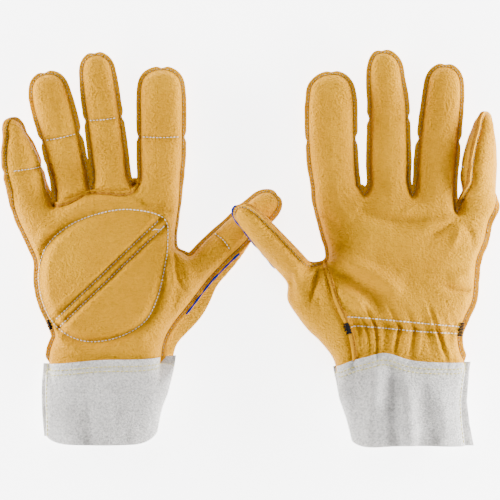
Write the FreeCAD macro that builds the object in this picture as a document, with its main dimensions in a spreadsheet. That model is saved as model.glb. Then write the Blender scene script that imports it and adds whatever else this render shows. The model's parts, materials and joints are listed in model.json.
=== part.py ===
"""A pair of leather protector gloves for electrical work, as a parametric FreeCAD document.

Glove a lies with its palm up and glove b with its palm down, and b's thumb lies over a's thumb. Each
glove is cut from leather panels sewn edge to edge with the seams outside, so every finger is a front
and a back arch that meet in a flat flange. A suede cuff is sewn over the leather skirt at the wrist.
The frame: +Z up, +Y along the middle fingers, +X from glove a to glove b, origin at the centre of the
pair's footprint. Lengths are millimetres and angles are degrees.
"""

import FreeCAD
import Part
import math
import os
import Sketcher

Vector = FreeCAD.Vector
Placement = FreeCAD.Placement
Rotation = FreeCAD.Rotation

# ---------------------------------------------------------------- driving dimensions
COMMON = {
    "wall": 1.8,  # leather with the foam sewn behind it, around a finger
    "hem": 1.2,  # one layer of leather in the flat seam
    "flange": 2.6,  # how far the seam stands out past the stitches
    "crease": 0.4,  # clearance between two parts that bend against each other
    "seam_z": 9.0,  # height of the seam plane over the floor
    "stub": 22.0,  # length of a finger's root inside the hand
    "dome": 19.0,  # height of the upper hand panel over the seam plane
    "dome_skin": 2.6,
    "dome_taper": 30.0,
    "bed": 9.0,  # depth of the lower hand panel under the seam plane
    "bed_skin": 2.0,
    "bed_taper": 45.0,
    "wrist_y": -57.7,  # where the hand bends against the cuff
    "skirt_end_y": -84.0,
    "skirt_half": 36.0,
    "skirt_top_half": 26.0,
    "skirt_bed_half": 26.0,
    "skirt_bed": 6.7,
    "cuff_high": 33.0,
    "cuff_wall": 1.8,
    "pad_radius": 33.0,
    "pad_thick": 3.0,
    "pad_gap": 5.0,
    "elastic_long": 58.0,
    "elastic_wide": 9.0,
    "elastic_thick": 1.0,
    "elastic_y": -54.5,
    "tack_radius": 0.9,
    "tack_long": 8.0,
    "tack_y": -54.0,
    "welt_thick": 1.6,
    "welt_flat": 0.35,  # the same seam under the glove that lies on it
    "welt_wide": 2.0,
    "welt_back": 3.6,
    "piping_thick": 0.7,
    "piping_high": 1.6,
    "piping_start": 4.0,
}

# hinge point on the seam plane, heading (clockwise from +Y, seen from above), pitch and roll of the
# finger, half its width between the stitches, half its thickness, crease-to-crease and tip lengths
FINGER_KEYS = ("x", "y", "z", "heading", "pitch", "roll", "half", "thick", "base", "tip")
FINGERS = {
    "a_index": (-58.7, 46.0, 9.0, 0.0, 0.0, 0.0, 13.3, 8.8, 27.4, 30.3),
    "a_middle": (-92.2, 46.5, 9.0, -6.2, 0.0, 0.0, 9.8, 8.4, 39.0, 34.6),
    "a_ring": (-118.4, 44.3, 9.0, -12.3, 0.0, 0.0, 10.0, 8.4, 29.7, 34.3),
    "a_little": (-145.7, 35.8, 10.4, -11.8, 0.0, 28.0, 10.4, 8.0, 16.4, 23.0),
    "b_index": (57.2, 40.0, 9.0, -3.4, 0.0, 0.0, 13.6, 8.8, 31.5, 28.9),
    "b_middle": (92.1, 42.0, 9.0, -1.9, 0.0, 0.0, 11.2, 8.6, 44.0, 32.0),
    "b_ring": (122.3, 40.5, 9.0, 3.4, 0.0, 0.0, 11.2, 8.6, 31.0, 36.7),
    "b_little": (151.0, 36.0, 10.6, 5.0, 0.0, 32.0, 9.8, 8.0, 16.5, 25.8),
}
THUMBS = {
    "a_thumb": (-33.5, -11.6, 9.0, 47.5, 0.0, 0.0, 10.2, 8.8, 58.6, 0.0),
    "b_thumb": (33.7, -17.1, 14.8, -42.0, 18.6, -48.0, 10.2, 8.2, 53.0, 0.0),
}
# the stitched outline of the hand, from the little finger's root down to the wrist and round
HANDS = {
    "a": [
        (-154.0, 28.0), (-139.0, -22.0), (-129.7, -72.0), (-54.4, -72.0), (-26.0, -27.0),
        (-46.0, -7.5), (-45.5, 38.0), (-90.0, 41.0), (-129.0, 30.0),
    ],
    "b": [
        (160.0, 29.5), (147.0, -18.0), (137.8, -72.0), (47.3, -72.0), (28.0, -31.0),
        (47.6, -12.2), (41.0, 32.0), (105.0, 35.0), (137.0, 31.0),
    ],
}
# side: +1 palm up, -1 palm down; x places of the skirt, cuff, pads and elastic; cuff size and yaw
GLOVE_KEYS = (
    "skirt_x", "cuff_x", "cuff_top", "cuff_long", "cuff_wide", "cuff_yaw",
    "pad_x", "pad_y", "elastic_x", "tack_1", "tack_2", "crotch_x", "crotch_y", "seam_yaw",
)
GLOVES = {
    "a": (
        -92.5, -93.2, -73.0, 55.0, 84.5, -4.0,
        -93.0, -14.0, -91.0, -134.6, -55.5, -45.8, -6.0, -19.0,
    ),
    "b": (
        99.5, 99.9, -73.5, 55.04, 86.0, 5.0,
        98.0, -14.0, 95.5, 142.9, 61.5, 47.6, -11.0, 20.0,
    ),
}
PALM_UP = {"a": 1, "b": -1}
WELTED = ("middle", "ring")

doc = FreeCAD.newDocument("leather_gloves")
sheet = doc.addObject("Spreadsheet::Sheet", "dims")
parts = {}


def fill_sheet():
    """Every driving dimension goes to a cell of its own, with its name as alias."""
    cells = dict(COMMON)
    for name, values in {**FINGERS, **THUMBS}.items():
        cells.update({f"{name}_{key}": value for key, value in zip(FINGER_KEYS, values)})
    for glove, points in HANDS.items():
        for i, (x, y) in enumerate(points):
            cells[f"{glove}_edge_x{i}_"] = x
            cells[f"{glove}_edge_y{i}_"] = y
    for glove, values in GLOVES.items():
        cells.update({f"{glove}_{key}": value for key, value in zip(GLOVE_KEYS, values)})
    for row, (alias, value) in enumerate(cells.items(), start=1):
        sheet.set(f"A{row}", alias)
        sheet.set(f"B{row}", str(value))
        sheet.setAlias(f"B{row}", alias)
    doc.recompute()


def size(alias):
    return float(sheet.get(alias))


def keep(node, obj):
    """obj is a sub-part, and node is its label and its file's name."""
    obj.Label = node
    parts[node] = obj
    return obj


def bind(obj, **formulas):
    """Ties properties to the sheet; __ stands for a dot in a property's name."""
    for prop, formula in formulas.items():
        obj.setExpression(prop.replace("__", "."), formula)


# ---------------------------------------------------------------- sketches
def plane(body, role):
    return next(o for o in body.Origin.OriginFeatures if o.Role == role)


def new_sketch(body, name, role="XZ_Plane", offset=None):
    sketch = body.newObject("Sketcher::SketchObject", name)
    sketch.AttachmentSupport = [(plane(body, role), "")]
    sketch.MapMode = "FlatFace"
    if offset is not None:
        sketch.AttachmentOffset = offset
    return sketch


def join_ends(sketch, count):
    """Each curve's end meets the next one's start, and the last closes the loop."""
    for i in range(count):
        sketch.addConstraint(Sketcher.Constraint("Coincident", i, 2, (i + 1) % count, 1))


def outline_sketch(sketch, points, aliases=None):
    """A closed polygon whose corners sit where the sheet says."""
    count = len(points)
    for i in range(count):
        start, end = Vector(*points[i], 0), Vector(*points[(i + 1) % count], 0)
        sketch.addGeometry(Part.LineSegment(start, end), False)
    join_ends(sketch, count)
    for i, (x, y) in enumerate(points):
        for axis, value in (("DistanceX", x), ("DistanceY", y)):
            index = sketch.addConstraint(Sketcher.Constraint(axis, i, 1, value))
            if aliases:
                sketch.setExpression(f"Constraints[{index}]", aliases(i, axis[-1].lower()))


def arc_between(centre, radius, start, end):
    """The arc about centre through the directions of start and end, counter-clockwise."""
    first = math.atan2(start.y - centre.y, start.x - centre.x)
    last = math.atan2(end.y - centre.y, end.x - centre.x)
    if last < first:
        last += 2 * math.pi
    circle = Part.Circle(centre, Vector(0, 0, 1), radius)
    return Part.ArcOfCircle(circle, first, last)


def lens(finger):
    """Half width, half thickness and arch radius of a finger."""
    half, thick = size(f"{finger}_half"), size(f"{finger}_thick")
    return half, thick, (half * half + thick * thick) / (2 * thick)


def radius_formula(finger, less=""):
    half, thick = f"dims.{finger}_half", f"dims.{finger}_thick"
    return f"({half} * {half} + {thick} * {thick}) / (2 * {thick}){less}"


def arch_sketch(sketch, finger, side, filled=False):
    """A finger panel's section: an arch that meets a flat flange at each side.

    side is +1 for the upper panel and -1 for the lower one. filled leaves the hollow out."""
    half, thick, radius = lens(finger)
    hem, edge, wall = size("hem"), size(f"{finger}_half") + size("flange"), size("wall")
    centre = Vector(0, side * (thick - radius), 0)
    reach = math.sqrt(radius**2 - (hem + radius - thick) ** 2)
    corner = [Vector(x, side * y, 0) for x, y in ((-reach, hem), (-edge, hem), (-edge, 0))]
    mirror = [Vector(-p.x, p.y, 0) for p in reversed(corner)]
    inner = math.sqrt((radius - wall) ** 2 - (radius - thick) ** 2)
    left, right = Vector(-inner, 0, 0), Vector(inner, 0, 0)
    ends = (mirror[-1], corner[0]) if side > 0 else (corner[0], mirror[-1])
    outer = arc_between(centre, radius, *ends)
    loop = [Part.LineSegment(corner[0], corner[1]), Part.LineSegment(corner[1], corner[2])]
    if filled:
        loop.append(Part.LineSegment(corner[2], mirror[0]))
    else:
        ends = (right, left) if side > 0 else (left, right)
        hollow = arc_between(centre, radius - wall, *ends)
        loop += [
            Part.LineSegment(corner[2], left),
            hollow,
            Part.LineSegment(right, mirror[0]),
        ]
    loop += [Part.LineSegment(mirror[0], mirror[1]), Part.LineSegment(mirror[1], mirror[2])]
    sketch.addGeometry([outer] + loop, False)
    bind_arcs(sketch, finger, side, filled)


def bind_arcs(sketch, finger, side, filled):
    """Ties the arch's radii and its centre's depth to the sheet."""
    depth = f"{radius_formula(finger)} - dims.{finger}_thick"
    arcs = [(0, "")] if filled else [(0, ""), (4, " - dims.wall")]
    for geometry, less in arcs:
        curve = sketch.Geometry[geometry]
        index = sketch.addConstraint(Sketcher.Constraint("Radius", geometry, curve.Radius))
        sketch.setExpression(f"Constraints[{index}]", radius_formula(finger, less))
        fall = Sketcher.Constraint("DistanceY", geometry, 3, curve.Center.y)
        index = sketch.addConstraint(fall)
        sketch.setExpression(f"Constraints[{index}]", f"{-side} * ({depth})")


def core_sketch(sketch, finger, side):
    """The hollow of a finger panel, closed across the seam plane."""
    half, thick, radius = lens(finger)
    inside = radius - size("wall")
    centre = Vector(0, side * (thick - radius), 0)
    reach = math.sqrt(inside**2 - (radius - thick) ** 2)
    left, right = Vector(-reach, 0, 0), Vector(reach, 0, 0)
    ends = (right, left) if side > 0 else (left, right)
    sketch.addGeometry([arc_between(centre, inside, *ends), Part.LineSegment(left, right)], False)
    index = sketch.addConstraint(Sketcher.Constraint("Radius", 0, inside))
    sketch.setExpression(f"Constraints[{index}]", radius_formula(finger, " - dims.wall"))


def half_arch_sketch(sketch, finger, side):
    """Half of a finger panel's section, which turns about the vertical axis into a fingertip."""
    half, thick, radius = lens(finger)
    hem, edge, wall = size("hem"), size(f"{finger}_half") + size("flange"), size("wall")
    centre = Vector(0, side * (thick - radius), 0)
    reach = math.sqrt(radius**2 - (hem + radius - thick) ** 2)
    inner = math.sqrt((radius - wall) ** 2 - (radius - thick) ** 2)
    top, under = Vector(0, side * thick, 0), Vector(0, side * (thick - wall), 0)
    foot, shoulder = Vector(inner, 0, 0), Vector(reach, side * hem, 0)
    outer_ends = (shoulder, top) if side > 0 else (top, shoulder)
    inner_ends = (foot, under) if side > 0 else (under, foot)
    rim = [foot, Vector(edge, 0, 0), Vector(edge, side * hem, 0), shoulder]
    loop = [arc_between(centre, radius, *outer_ends), arc_between(centre, radius - wall, *inner_ends)]
    loop.append(Part.LineSegment(top, under))
    loop += [Part.LineSegment(a, b) for a, b in zip(rim, rim[1:])]
    sketch.addGeometry(loop, False)
    for geometry, less in ((0, ""), (1, " - dims.wall")):
        value = sketch.Geometry[geometry].Radius
        index = sketch.addConstraint(Sketcher.Constraint("Radius", geometry, value))
        sketch.setExpression(f"Constraints[{index}]", radius_formula(finger, less))


# ---------------------------------------------------------------- features
def pad(body, sketch, length, reverse=False, taper=None, cut=False):
    kind = "PartDesign::Pocket" if cut else "PartDesign::Pad"
    feature = body.newObject(kind, sketch.Name + ("_cut" if cut else "_pad"))
    feature.Profile = sketch
    feature.Reversed = reverse
    feature.setExpression("Length", length)
    if taper:
        feature.setExpression("TaperAngle", taper)
    sketch.Visibility = False
    return feature


def finger_turn(finger):
    """The rotation that carries x, y, z to across, along and up the finger."""
    heading, pitch, roll = (size(f"{finger}_{key}") for key in ("heading", "pitch", "roll"))
    turn = Rotation(Vector(0, 0, 1), -heading)
    turn = turn * Rotation(Vector(1, 0, 0), pitch)
    return turn * Rotation(Vector(0, 1, 0), roll)


def finger_body(finger, node):
    body = doc.addObject("PartDesign::Body", node)
    point = Vector(*(size(f"{finger}_{key}") for key in "xyz"))
    body.Placement = Placement(point, finger_turn(finger))
    for key in "xyz":
        body.setExpression(f"Placement.Base.{key}", f"dims.{finger}_{key}")
    return keep(node, body)


def base_segment(finger, node, side):
    """The stretch between a finger's root crease and its middle crease."""
    body = finger_body(finger, node)
    sketch = new_sketch(body, node + "_section")
    arch_sketch(sketch, finger, side)
    bind(sketch, AttachmentOffset__Base__z="-dims.crease / 2")
    pad(body, sketch, f"dims.{finger}_base - dims.crease", reverse=True)


def tip_segment(finger, node, side, start, straight):
    """The stretch past a finger's last crease, with a domed end. start and straight are formulas."""
    body = finger_body(finger, node)
    sketch = new_sketch(body, node + "_section")
    arch_sketch(sketch, finger, side)
    bind(sketch, AttachmentOffset__Base__z=f"-({start} + dims.crease / 2)")
    pad(body, sketch, f"{straight} - dims.crease / 2", reverse=True)
    dome = new_sketch(body, node + "_dome")
    half_arch_sketch(dome, finger, side)
    bind(dome, AttachmentOffset__Base__z=f"-({start} + {straight})")
    doc.recompute()
    turn = body.newObject("PartDesign::Revolution", node + "_turn")
    turn.Profile = dome
    turn.ReferenceAxis = (dome, ["V_Axis"])
    turn.Angle = 180
    body.Tip = turn


def root_offset(glove, finger):
    """Where a finger's root section stands in its hand's body, with no pitch or roll."""
    x, y, heading = (size(f"{finger}_{key}") for key in ("x", "y", "heading"))
    back = size("crease") / 2
    along = Vector(math.sin(math.radians(heading)), math.cos(math.radians(heading)), 0)
    point = Vector(x, y, size("seam_z")) - along * back
    return Placement(Vector(point.x, point.z, -point.y), Rotation(Vector(0, 1, 0), -heading))


def hand_shell(glove, node, side):
    """One hand panel: a hollow tray with the roots of all five fingers, open at the wrist."""
    body = doc.addObject("PartDesign::Body", node)
    points = HANDS[glove]
    level = Placement(Vector(0, 0, size("seam_z")), Rotation())
    height, skin, taper = ("dome", "dome_skin", "dome_taper") if side > 0 else ("bed", "bed_skin", "bed_taper")

    def corner(i, axis):
        return f"dims.{glove}_edge_{axis}{i}_"

    rim = new_sketch(body, node + "_rim", "XY_Plane", level)
    outline_sketch(rim, widened(points, size("flange")))
    pad(body, rim, "dims.hem", reverse=side < 0)
    tray = new_sketch(body, node + "_tray", "XY_Plane", level)
    outline_sketch(tray, points, corner)
    pad(body, tray, f"dims.{height}", reverse=side < 0, taper=f"-dims.{taper}")
    fingers = [f"{glove}_{name}" for name in ("index", "middle", "ring", "little", "thumb")]
    for finger in fingers:
        root = new_sketch(body, f"{node}_{finger}_root", offset=root_offset(glove, finger))
        arch_sketch(root, finger, side, filled=True)
        pad(body, root, "dims.stub")
    doc.recompute()
    sunk = Placement(Vector(0, 0, size("seam_z") - side * size(skin)), Rotation())
    inside = new_sketch(body, node + "_inside", "XY_Plane", sunk)
    outline_sketch(inside, points, corner)
    pad(body, inside, f"dims.{height}", reverse=side > 0, taper=f"-dims.{taper}", cut=True)
    for finger in fingers:
        core = new_sketch(body, f"{node}_{finger}_core", offset=root_offset(glove, finger))
        core_sketch(core, finger, side)
        pad(body, core, "dims.stub", reverse=True, cut=True)
    wrist = new_sketch(body, node + "_wrist", "XY_Plane")
    low = size("wrist_y") + size("crease") / 2
    xs = [x for x, _ in points]
    box = [(min(xs) - 20, low - 40), (max(xs) + 20, low - 40), (max(xs) + 20, low), (min(xs) - 20, low)]
    outline_sketch(wrist, box)
    through = pad(body, wrist, "2 * dims.dome + 2 * dims.seam_z", cut=True)
    through.Midplane = True
    return body


def widened(points, step):
    """The polygon moved outward by step on every side."""
    turn = 1 if area(points) > 0 else -1
    moved = []
    count = len(points)
    for i, (x, y) in enumerate(points):
        normals = []
        for j in (i - 1, i):
            (x0, y0), (x1, y1) = points[j % count], points[(j + 1) % count]
            length = math.hypot(x1 - x0, y1 - y0)
            normals.append((turn * (y1 - y0) / length, -turn * (x1 - x0) / length))
        (ax, ay), (bx, by) = normals
        reach = step / (1 + ax * bx + ay * by)
        moved.append((x + reach * (ax + bx), y + reach * (ay + by)))
    return moved


def area(points):
    return 0.5 * sum(
        x0 * y1 - x1 * y0 for (x0, y0), (x1, y1) in zip(points, points[1:] + points[:1])
    )


def box(name, long, wide, high):
    """A block whose three sizes are formulas."""
    block = doc.addObject("Part::Box", name)
    bind(block, Length=long, Width=wide, Height=high)
    return block


def back_and_gusset(glove, shell):
    """Cuts the back shell along the seam that runs from the thumb's crotch to the wrist."""
    yaw = GLOVES[glove][-1]
    outward = 1 if glove == "a" else -1
    region = box(f"{glove}_gusset_region", "80", "90", "2 * (dims.seam_z + dims.dome)")
    turn = Rotation(Vector(0, 0, 1), yaw)
    corner = Vector(size(f"{glove}_crotch_x"), size(f"{glove}_crotch_y"), -size("seam_z"))
    shift = Vector(0 if outward > 0 else -80, -90, 0)
    region.Placement = Placement(corner + turn.multVec(shift), turn)
    gusset = doc.addObject("Part::Common", f"{glove}_gusset")
    gusset.Base, gusset.Tool = shell, region
    keep(f"glove_{glove}_thumb_gusset", gusset)
    back = doc.addObject("Part::Cut", f"{glove}_back")
    back.Base, back.Tool = shell, region
    keep(f"glove_{glove}_back_panel", back)


def skirt_half(glove, node, side):
    """One side of the leather skirt between the wrist crease and the inside of the cuff."""
    body = keep(node, doc.addObject("PartDesign::Body", node))
    body.Placement.Base = Vector(size(f"{glove}_skirt_x"), size("wrist_y"), size("seam_z"))
    bind(body, Placement__Base__x=f"dims.{glove}_skirt_x", Placement__Base__y="dims.wrist_y")
    wide = size("skirt_half")
    rise, run, skin = (
        (size("dome"), size("skirt_top_half"), size("wall"))
        if side > 0
        else (-size("skirt_bed"), size("skirt_bed_half"), -size("wall"))
    )
    thin = abs(skin) * 1.2
    outer = [(-wide, 0), (-run, rise), (run, rise), (wide, 0)]
    inner = [(wide - thin, 0), (run - thin / 2, rise - skin), (thin / 2 - run, rise - skin), (thin - wide, 0)]
    sketch = new_sketch(body, node + "_section")
    outline_sketch(sketch, outer + inner)
    bind(sketch, AttachmentOffset__Base__z="dims.crease / 2")
    pad(body, sketch, "dims.wrist_y - dims.skirt_end_y")


def cuff(glove):
    """The suede cuff: an oval tube, with the side seam standing out along its outer edge."""
    node = f"glove_{glove}_cuff"
    body = keep(node, doc.addObject("PartDesign::Body", node))
    top = Vector(size(f"{glove}_cuff_x"), size(f"{glove}_cuff_top"), size("cuff_high") / 2)
    body.Placement = Placement(top, Rotation(Vector(0, 0, 1), size(f"{glove}_cuff_yaw")))
    wide, high, wall = size(f"{glove}_cuff_wide"), size("cuff_high"), size("cuff_wall")
    for name, inset, cut in (("outer", 0.0, False), ("inner", wall, True)):
        sketch = new_sketch(body, f"{node}_{name}")
        radius, reach = high / 2 - inset, (wide - high) / 2
        right, left = Vector(reach, 0, 0), Vector(-reach, 0, 0)
        up = Vector(0, radius, 0)
        sketch.addGeometry(
            [
                arc_between(right, radius, right - up, right + up),
                Part.LineSegment(right + up, left + up),
                arc_between(left, radius, left + up, left - up),
                Part.LineSegment(left - up, right - up),
            ],
            False,
        )
        less = "" if not cut else " - dims.cuff_wall"
        for arc in (0, 2):
            index = sketch.addConstraint(Sketcher.Constraint("Radius", arc, radius))
            sketch.setExpression(f"Constraints[{index}]", f"dims.cuff_high / 2{less}")
        if cut:
            doc.recompute()
        pad(body, sketch, f"dims.{glove}_cuff_long", reverse=cut, cut=cut)
        if not cut:
            seam = new_sketch(body, f"{node}_seam")
            outer_side = -1 if glove == "a" else 1
            near, far = outer_side * (wide / 2 - wall / 2), outer_side * (wide / 2 + size("flange"))
            hem = size("hem")
            outline_sketch(seam, [(near, -hem), (far, -hem), (far, hem), (near, hem)])
            pad(body, seam, f"dims.{glove}_cuff_long")


def palm_pads(glove):
    """Two foam half discs under the palm leather, with the quilted seam's gap between them."""
    height = (
        "dims.seam_z + dims.dome - dims.dome_skin - dims.pad_thick - 0.1"
        if PALM_UP[glove] > 0
        else "dims.seam_z - dims.bed + dims.bed_skin + 0.1"
    )
    lean = 45 * PALM_UP[glove]
    for name, turn in (("upper", 0), ("lower", 180)):
        disc = doc.addObject("Part::Cylinder", f"{glove}_pad_{name}")
        disc.Angle = 180
        bind(disc, Radius="dims.pad_radius", Height="dims.pad_thick")
        facing = Rotation(Vector(0, 0, 1), lean + turn)
        away = facing.multVec(Vector(0, size("pad_gap") / 2, 0))
        disc.Placement = Placement(
            Vector(size(f"{glove}_pad_x") + away.x, size(f"{glove}_pad_y") + away.y, 0), facing
        )
        disc.setExpression("Placement.Base.z", height)
        keep(f"glove_{glove}_palm_pad_{name}", disc)


def elastic(glove):
    """The band that gathers the back of the wrist, inside the back panel."""
    band = box(f"{glove}_band", "dims.elastic_long", "dims.elastic_wide", "dims.elastic_thick")
    height = (
        "dims.seam_z - dims.bed + dims.bed_skin + 0.1"
        if PALM_UP[glove] > 0
        else "dims.seam_z + dims.dome - dims.dome_skin - dims.elastic_thick - 0.1"
    )
    bind(
        band,
        Placement__Base__x=f"dims.{glove}_elastic_x - dims.elastic_long / 2",
        Placement__Base__y="dims.elastic_y",
        Placement__Base__z=height,
    )
    keep(f"glove_{glove}_wrist_elastic", band)


def bar_tacks(glove):
    """The two thread bars that hold the elastic's ends, one on the side seam and one by the thumb."""
    bars = []
    inner = (
        "dims.seam_z - dims.bed + dims.bed_skin + dims.tack_radius + 0.05"
        if PALM_UP[glove] > 0
        else "dims.seam_z + dims.dome + dims.tack_radius + 0.05"
    )
    outer = "dims.seam_z + dims.hem + dims.tack_radius + 0.05"
    for number, height in ((1, outer), (2, inner)):
        bar = doc.addObject("Part::Cylinder", f"{glove}_tack_bar_{number}")
        bind(
            bar,
            Radius="dims.tack_radius",
            Height="dims.tack_long",
            Placement__Base__x=f"dims.{glove}_tack_{number}",
            Placement__Base__y="dims.tack_y",
            Placement__Base__z=height,
        )
        bar.Placement.Rotation = Rotation(Vector(1, 0, 0), -90)
        bars.append(bar)
    pair = doc.addObject("Part::Compound", f"{glove}_tacks")
    pair.Links = bars
    keep(f"glove_{glove}_bar_tacks", pair)


def root_welt(glove):
    """The rolled seam over the palm side of the middle and ring fingers' roots."""
    side = PALM_UP[glove]
    high = size("welt_thick") if side > 0 else size("welt_flat")
    rolls = []
    for name in WELTED:
        finger = f"{glove}_{name}"
        _, thick, radius = lens(finger)
        centre = Vector(0, 0, side * (thick - radius))
        inner = Part.makeCylinder(radius + 0.02, size("welt_wide"), centre, Vector(0, -1, 0))
        outer = Part.makeCylinder(radius + high, size("welt_wide"), centre, Vector(0, -1, 0))
        ring = outer.cut(inner)
        span = 3 * radius
        low = side * (size("hem") + 0.2)
        corner = Vector(-span, -size("welt_wide") - 1, low if side > 0 else low - span)
        window = Part.makeBox(2 * span, size("welt_wide") + 2, span, corner)
        roll = ring.common(window)
        heading = size(f"{finger}_heading")
        turn = Rotation(Vector(0, 0, 1), -heading)
        point = Vector(size(f"{finger}_x"), size(f"{finger}_y"), size("seam_z"))
        point -= turn.multVec(Vector(0, size("welt_back") - size("welt_wide"), 0))
        roll.Placement = Placement(point, turn)
        rolls.append(roll)
    welt = doc.addObject("Part::Feature", f"{glove}_welt")
    welt.Shape = Part.makeCompound(rolls)
    keep(f"glove_{glove}_root_welt", welt)


def thumb_piping(glove):
    """The thin bound edge along the outer seam of the thumb."""
    thumb = f"{glove}_thumb"
    strip = box(
        f"{glove}_piping_strip",
        "dims.piping_thick",
        f"dims.{thumb}_base - 2 * dims.piping_start",
        "dims.piping_high",
    )
    outer_side = PALM_UP[glove]
    edge = size(f"{thumb}_half") + size("flange") + 0.02
    start = edge if outer_side > 0 else -edge - size("piping_thick")
    point = Vector(*(size(f"{thumb}_{key}") for key in "xyz"))
    turn = finger_turn(thumb)
    offset = Vector(start, size("piping_start"), -size("piping_high") / 2)
    strip.Placement = Placement(point + turn.multVec(offset), turn)
    keep(f"glove_{glove}_thumb_piping", strip)


def glove(name):
    """All the pieces of one glove."""
    faces = ((PALM_UP[name], "front"), (-PALM_UP[name], "back"))
    for finger in ("index", "middle", "ring", "little"):
        key = f"{name}_{finger}"
        for side, face in faces:
            base_segment(key, f"glove_{name}_{finger}_base_{face}", side)
            node = f"glove_{name}_{finger}_tip_{face}"
            tip_segment(key, node, side, f"dims.{key}_base", f"dims.{key}_tip")
    for side, face in faces:
        node = f"glove_{name}_thumb_{face}"
        tip_segment(f"{name}_thumb", node, side, "0", f"dims.{name}_thumb_base")
    palm = hand_shell(name, f"glove_{name}_palm", PALM_UP[name])
    keep(f"glove_{name}_palm_panel", palm)
    back_and_gusset(name, hand_shell(name, f"glove_{name}_back_shell", -PALM_UP[name]))
    for side, face in faces:
        skirt_half(name, f"glove_{name}_skirt_{face}", side)
    cuff(name)
    palm_pads(name)
    elastic(name)
    bar_tacks(name)
    root_welt(name)
    thumb_piping(name)


def check():
    """Stops the script if any object failed or any sub-part is not closed solids."""
    bad = [o.Label for o in doc.Objects if {"Invalid", "Error"} & set(o.State)]
    if bad:
        raise SystemExit(f"failed objects: {bad}")
    for node, obj in parts.items():
        shape = obj.Shape
        if shape.isNull() or not shape.isValid() or not shape.Solids:
            raise SystemExit(f"{node} has no valid solid")


def main():
    fill_sheet()
    for name in GLOVES:
        glove(name)
    doc.recompute()
    check()
    os.makedirs("parts", exist_ok=True)
    bounds = FreeCAD.BoundBox()
    for node, obj in sorted(parts.items()):
        shape = obj.Shape
        bounds.add(shape.BoundBox)
        shape.exportStep(f"parts/{node}.step")
        print(f"{node}: {len(shape.Solids)} solid(s), {shape.Volume:.0f} mm3")
    print("sub-parts", len(parts), "bounds", bounds)


main()
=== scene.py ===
"""A pair of golden leather protector gloves with suede cuffs, lying side by side and seen from above.

Each glove starts as its flat stitched outline in millimetres. The two leather sides are blown up from
that outline, and the sewn edge, seams, folds and threads are added. The little fingers and thumbs are
then rolled and lifted into place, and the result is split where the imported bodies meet.
"""

import json
import math

import bpy
import numpy as np
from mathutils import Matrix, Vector, geometry, noise


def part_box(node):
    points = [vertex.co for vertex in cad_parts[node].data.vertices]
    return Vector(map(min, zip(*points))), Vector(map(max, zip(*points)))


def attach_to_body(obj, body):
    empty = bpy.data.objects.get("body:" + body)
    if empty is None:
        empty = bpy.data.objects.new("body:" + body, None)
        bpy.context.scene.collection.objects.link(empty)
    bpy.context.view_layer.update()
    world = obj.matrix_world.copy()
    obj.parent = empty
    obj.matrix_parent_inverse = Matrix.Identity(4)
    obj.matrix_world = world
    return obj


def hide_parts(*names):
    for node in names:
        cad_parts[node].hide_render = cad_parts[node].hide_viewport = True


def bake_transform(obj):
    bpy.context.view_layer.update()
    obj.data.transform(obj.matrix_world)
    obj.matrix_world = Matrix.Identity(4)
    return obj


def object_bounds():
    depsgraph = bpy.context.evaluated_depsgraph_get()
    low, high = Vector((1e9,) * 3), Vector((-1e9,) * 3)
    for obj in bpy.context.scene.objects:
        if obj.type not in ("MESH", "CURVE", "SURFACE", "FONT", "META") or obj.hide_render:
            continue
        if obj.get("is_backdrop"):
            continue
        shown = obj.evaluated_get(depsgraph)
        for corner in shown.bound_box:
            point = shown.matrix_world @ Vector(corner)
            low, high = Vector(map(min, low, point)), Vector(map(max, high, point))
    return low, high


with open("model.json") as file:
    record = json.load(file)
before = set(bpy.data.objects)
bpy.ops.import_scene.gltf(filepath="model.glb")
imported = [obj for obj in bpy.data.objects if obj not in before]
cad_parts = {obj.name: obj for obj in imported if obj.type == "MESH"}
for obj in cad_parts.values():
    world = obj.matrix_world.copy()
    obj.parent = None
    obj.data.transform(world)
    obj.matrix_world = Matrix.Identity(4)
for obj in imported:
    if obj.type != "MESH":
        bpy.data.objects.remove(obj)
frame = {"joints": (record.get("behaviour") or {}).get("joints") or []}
cad_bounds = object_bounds()
JOINTS = {j["name"]: j for j in frame["joints"]}
MM = 0.001
TURN = 2 * math.pi
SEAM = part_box("glove_a_palm_panel")[0].z / MM  # height of the seam plane
SPREAD = 15.0  # how far from a seam the leather keeps rising
RISE = {"a": (17.6, 17.0), "b": (16.6, 17.0)}  # upper and lower height it rises to
FLOOR_ROOM = 8.5  # how far the lower side may hang under the seam plane
FLOOR_GUARD, FLOOR_GAP = 1.5, 0.25  # leather under this height is squeezed to stay over the floor
LEATHER = 1.15  # thickness of one layer
EDGE = 2.8  # width of the sewn edge
STITCH = 2.35  # distance from one stitch to the next
PATH_STEP, MESH_STEP, SOLVE_STEP = 1.15, 1.55, 1.3  # spacing of the outline, the mesh and the solver
SOLVE_ROUNDS = 700
RADIAL_STEP = 1.1  # spacing along the raised seam of glove b
THUMB_BASE = 23.6  # from the thumb's root to its stitched row
THUMB_CUT, SKIRT_CUT = -2.5, -50.0  # where the thumb and the skirt are split from the hand

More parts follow.
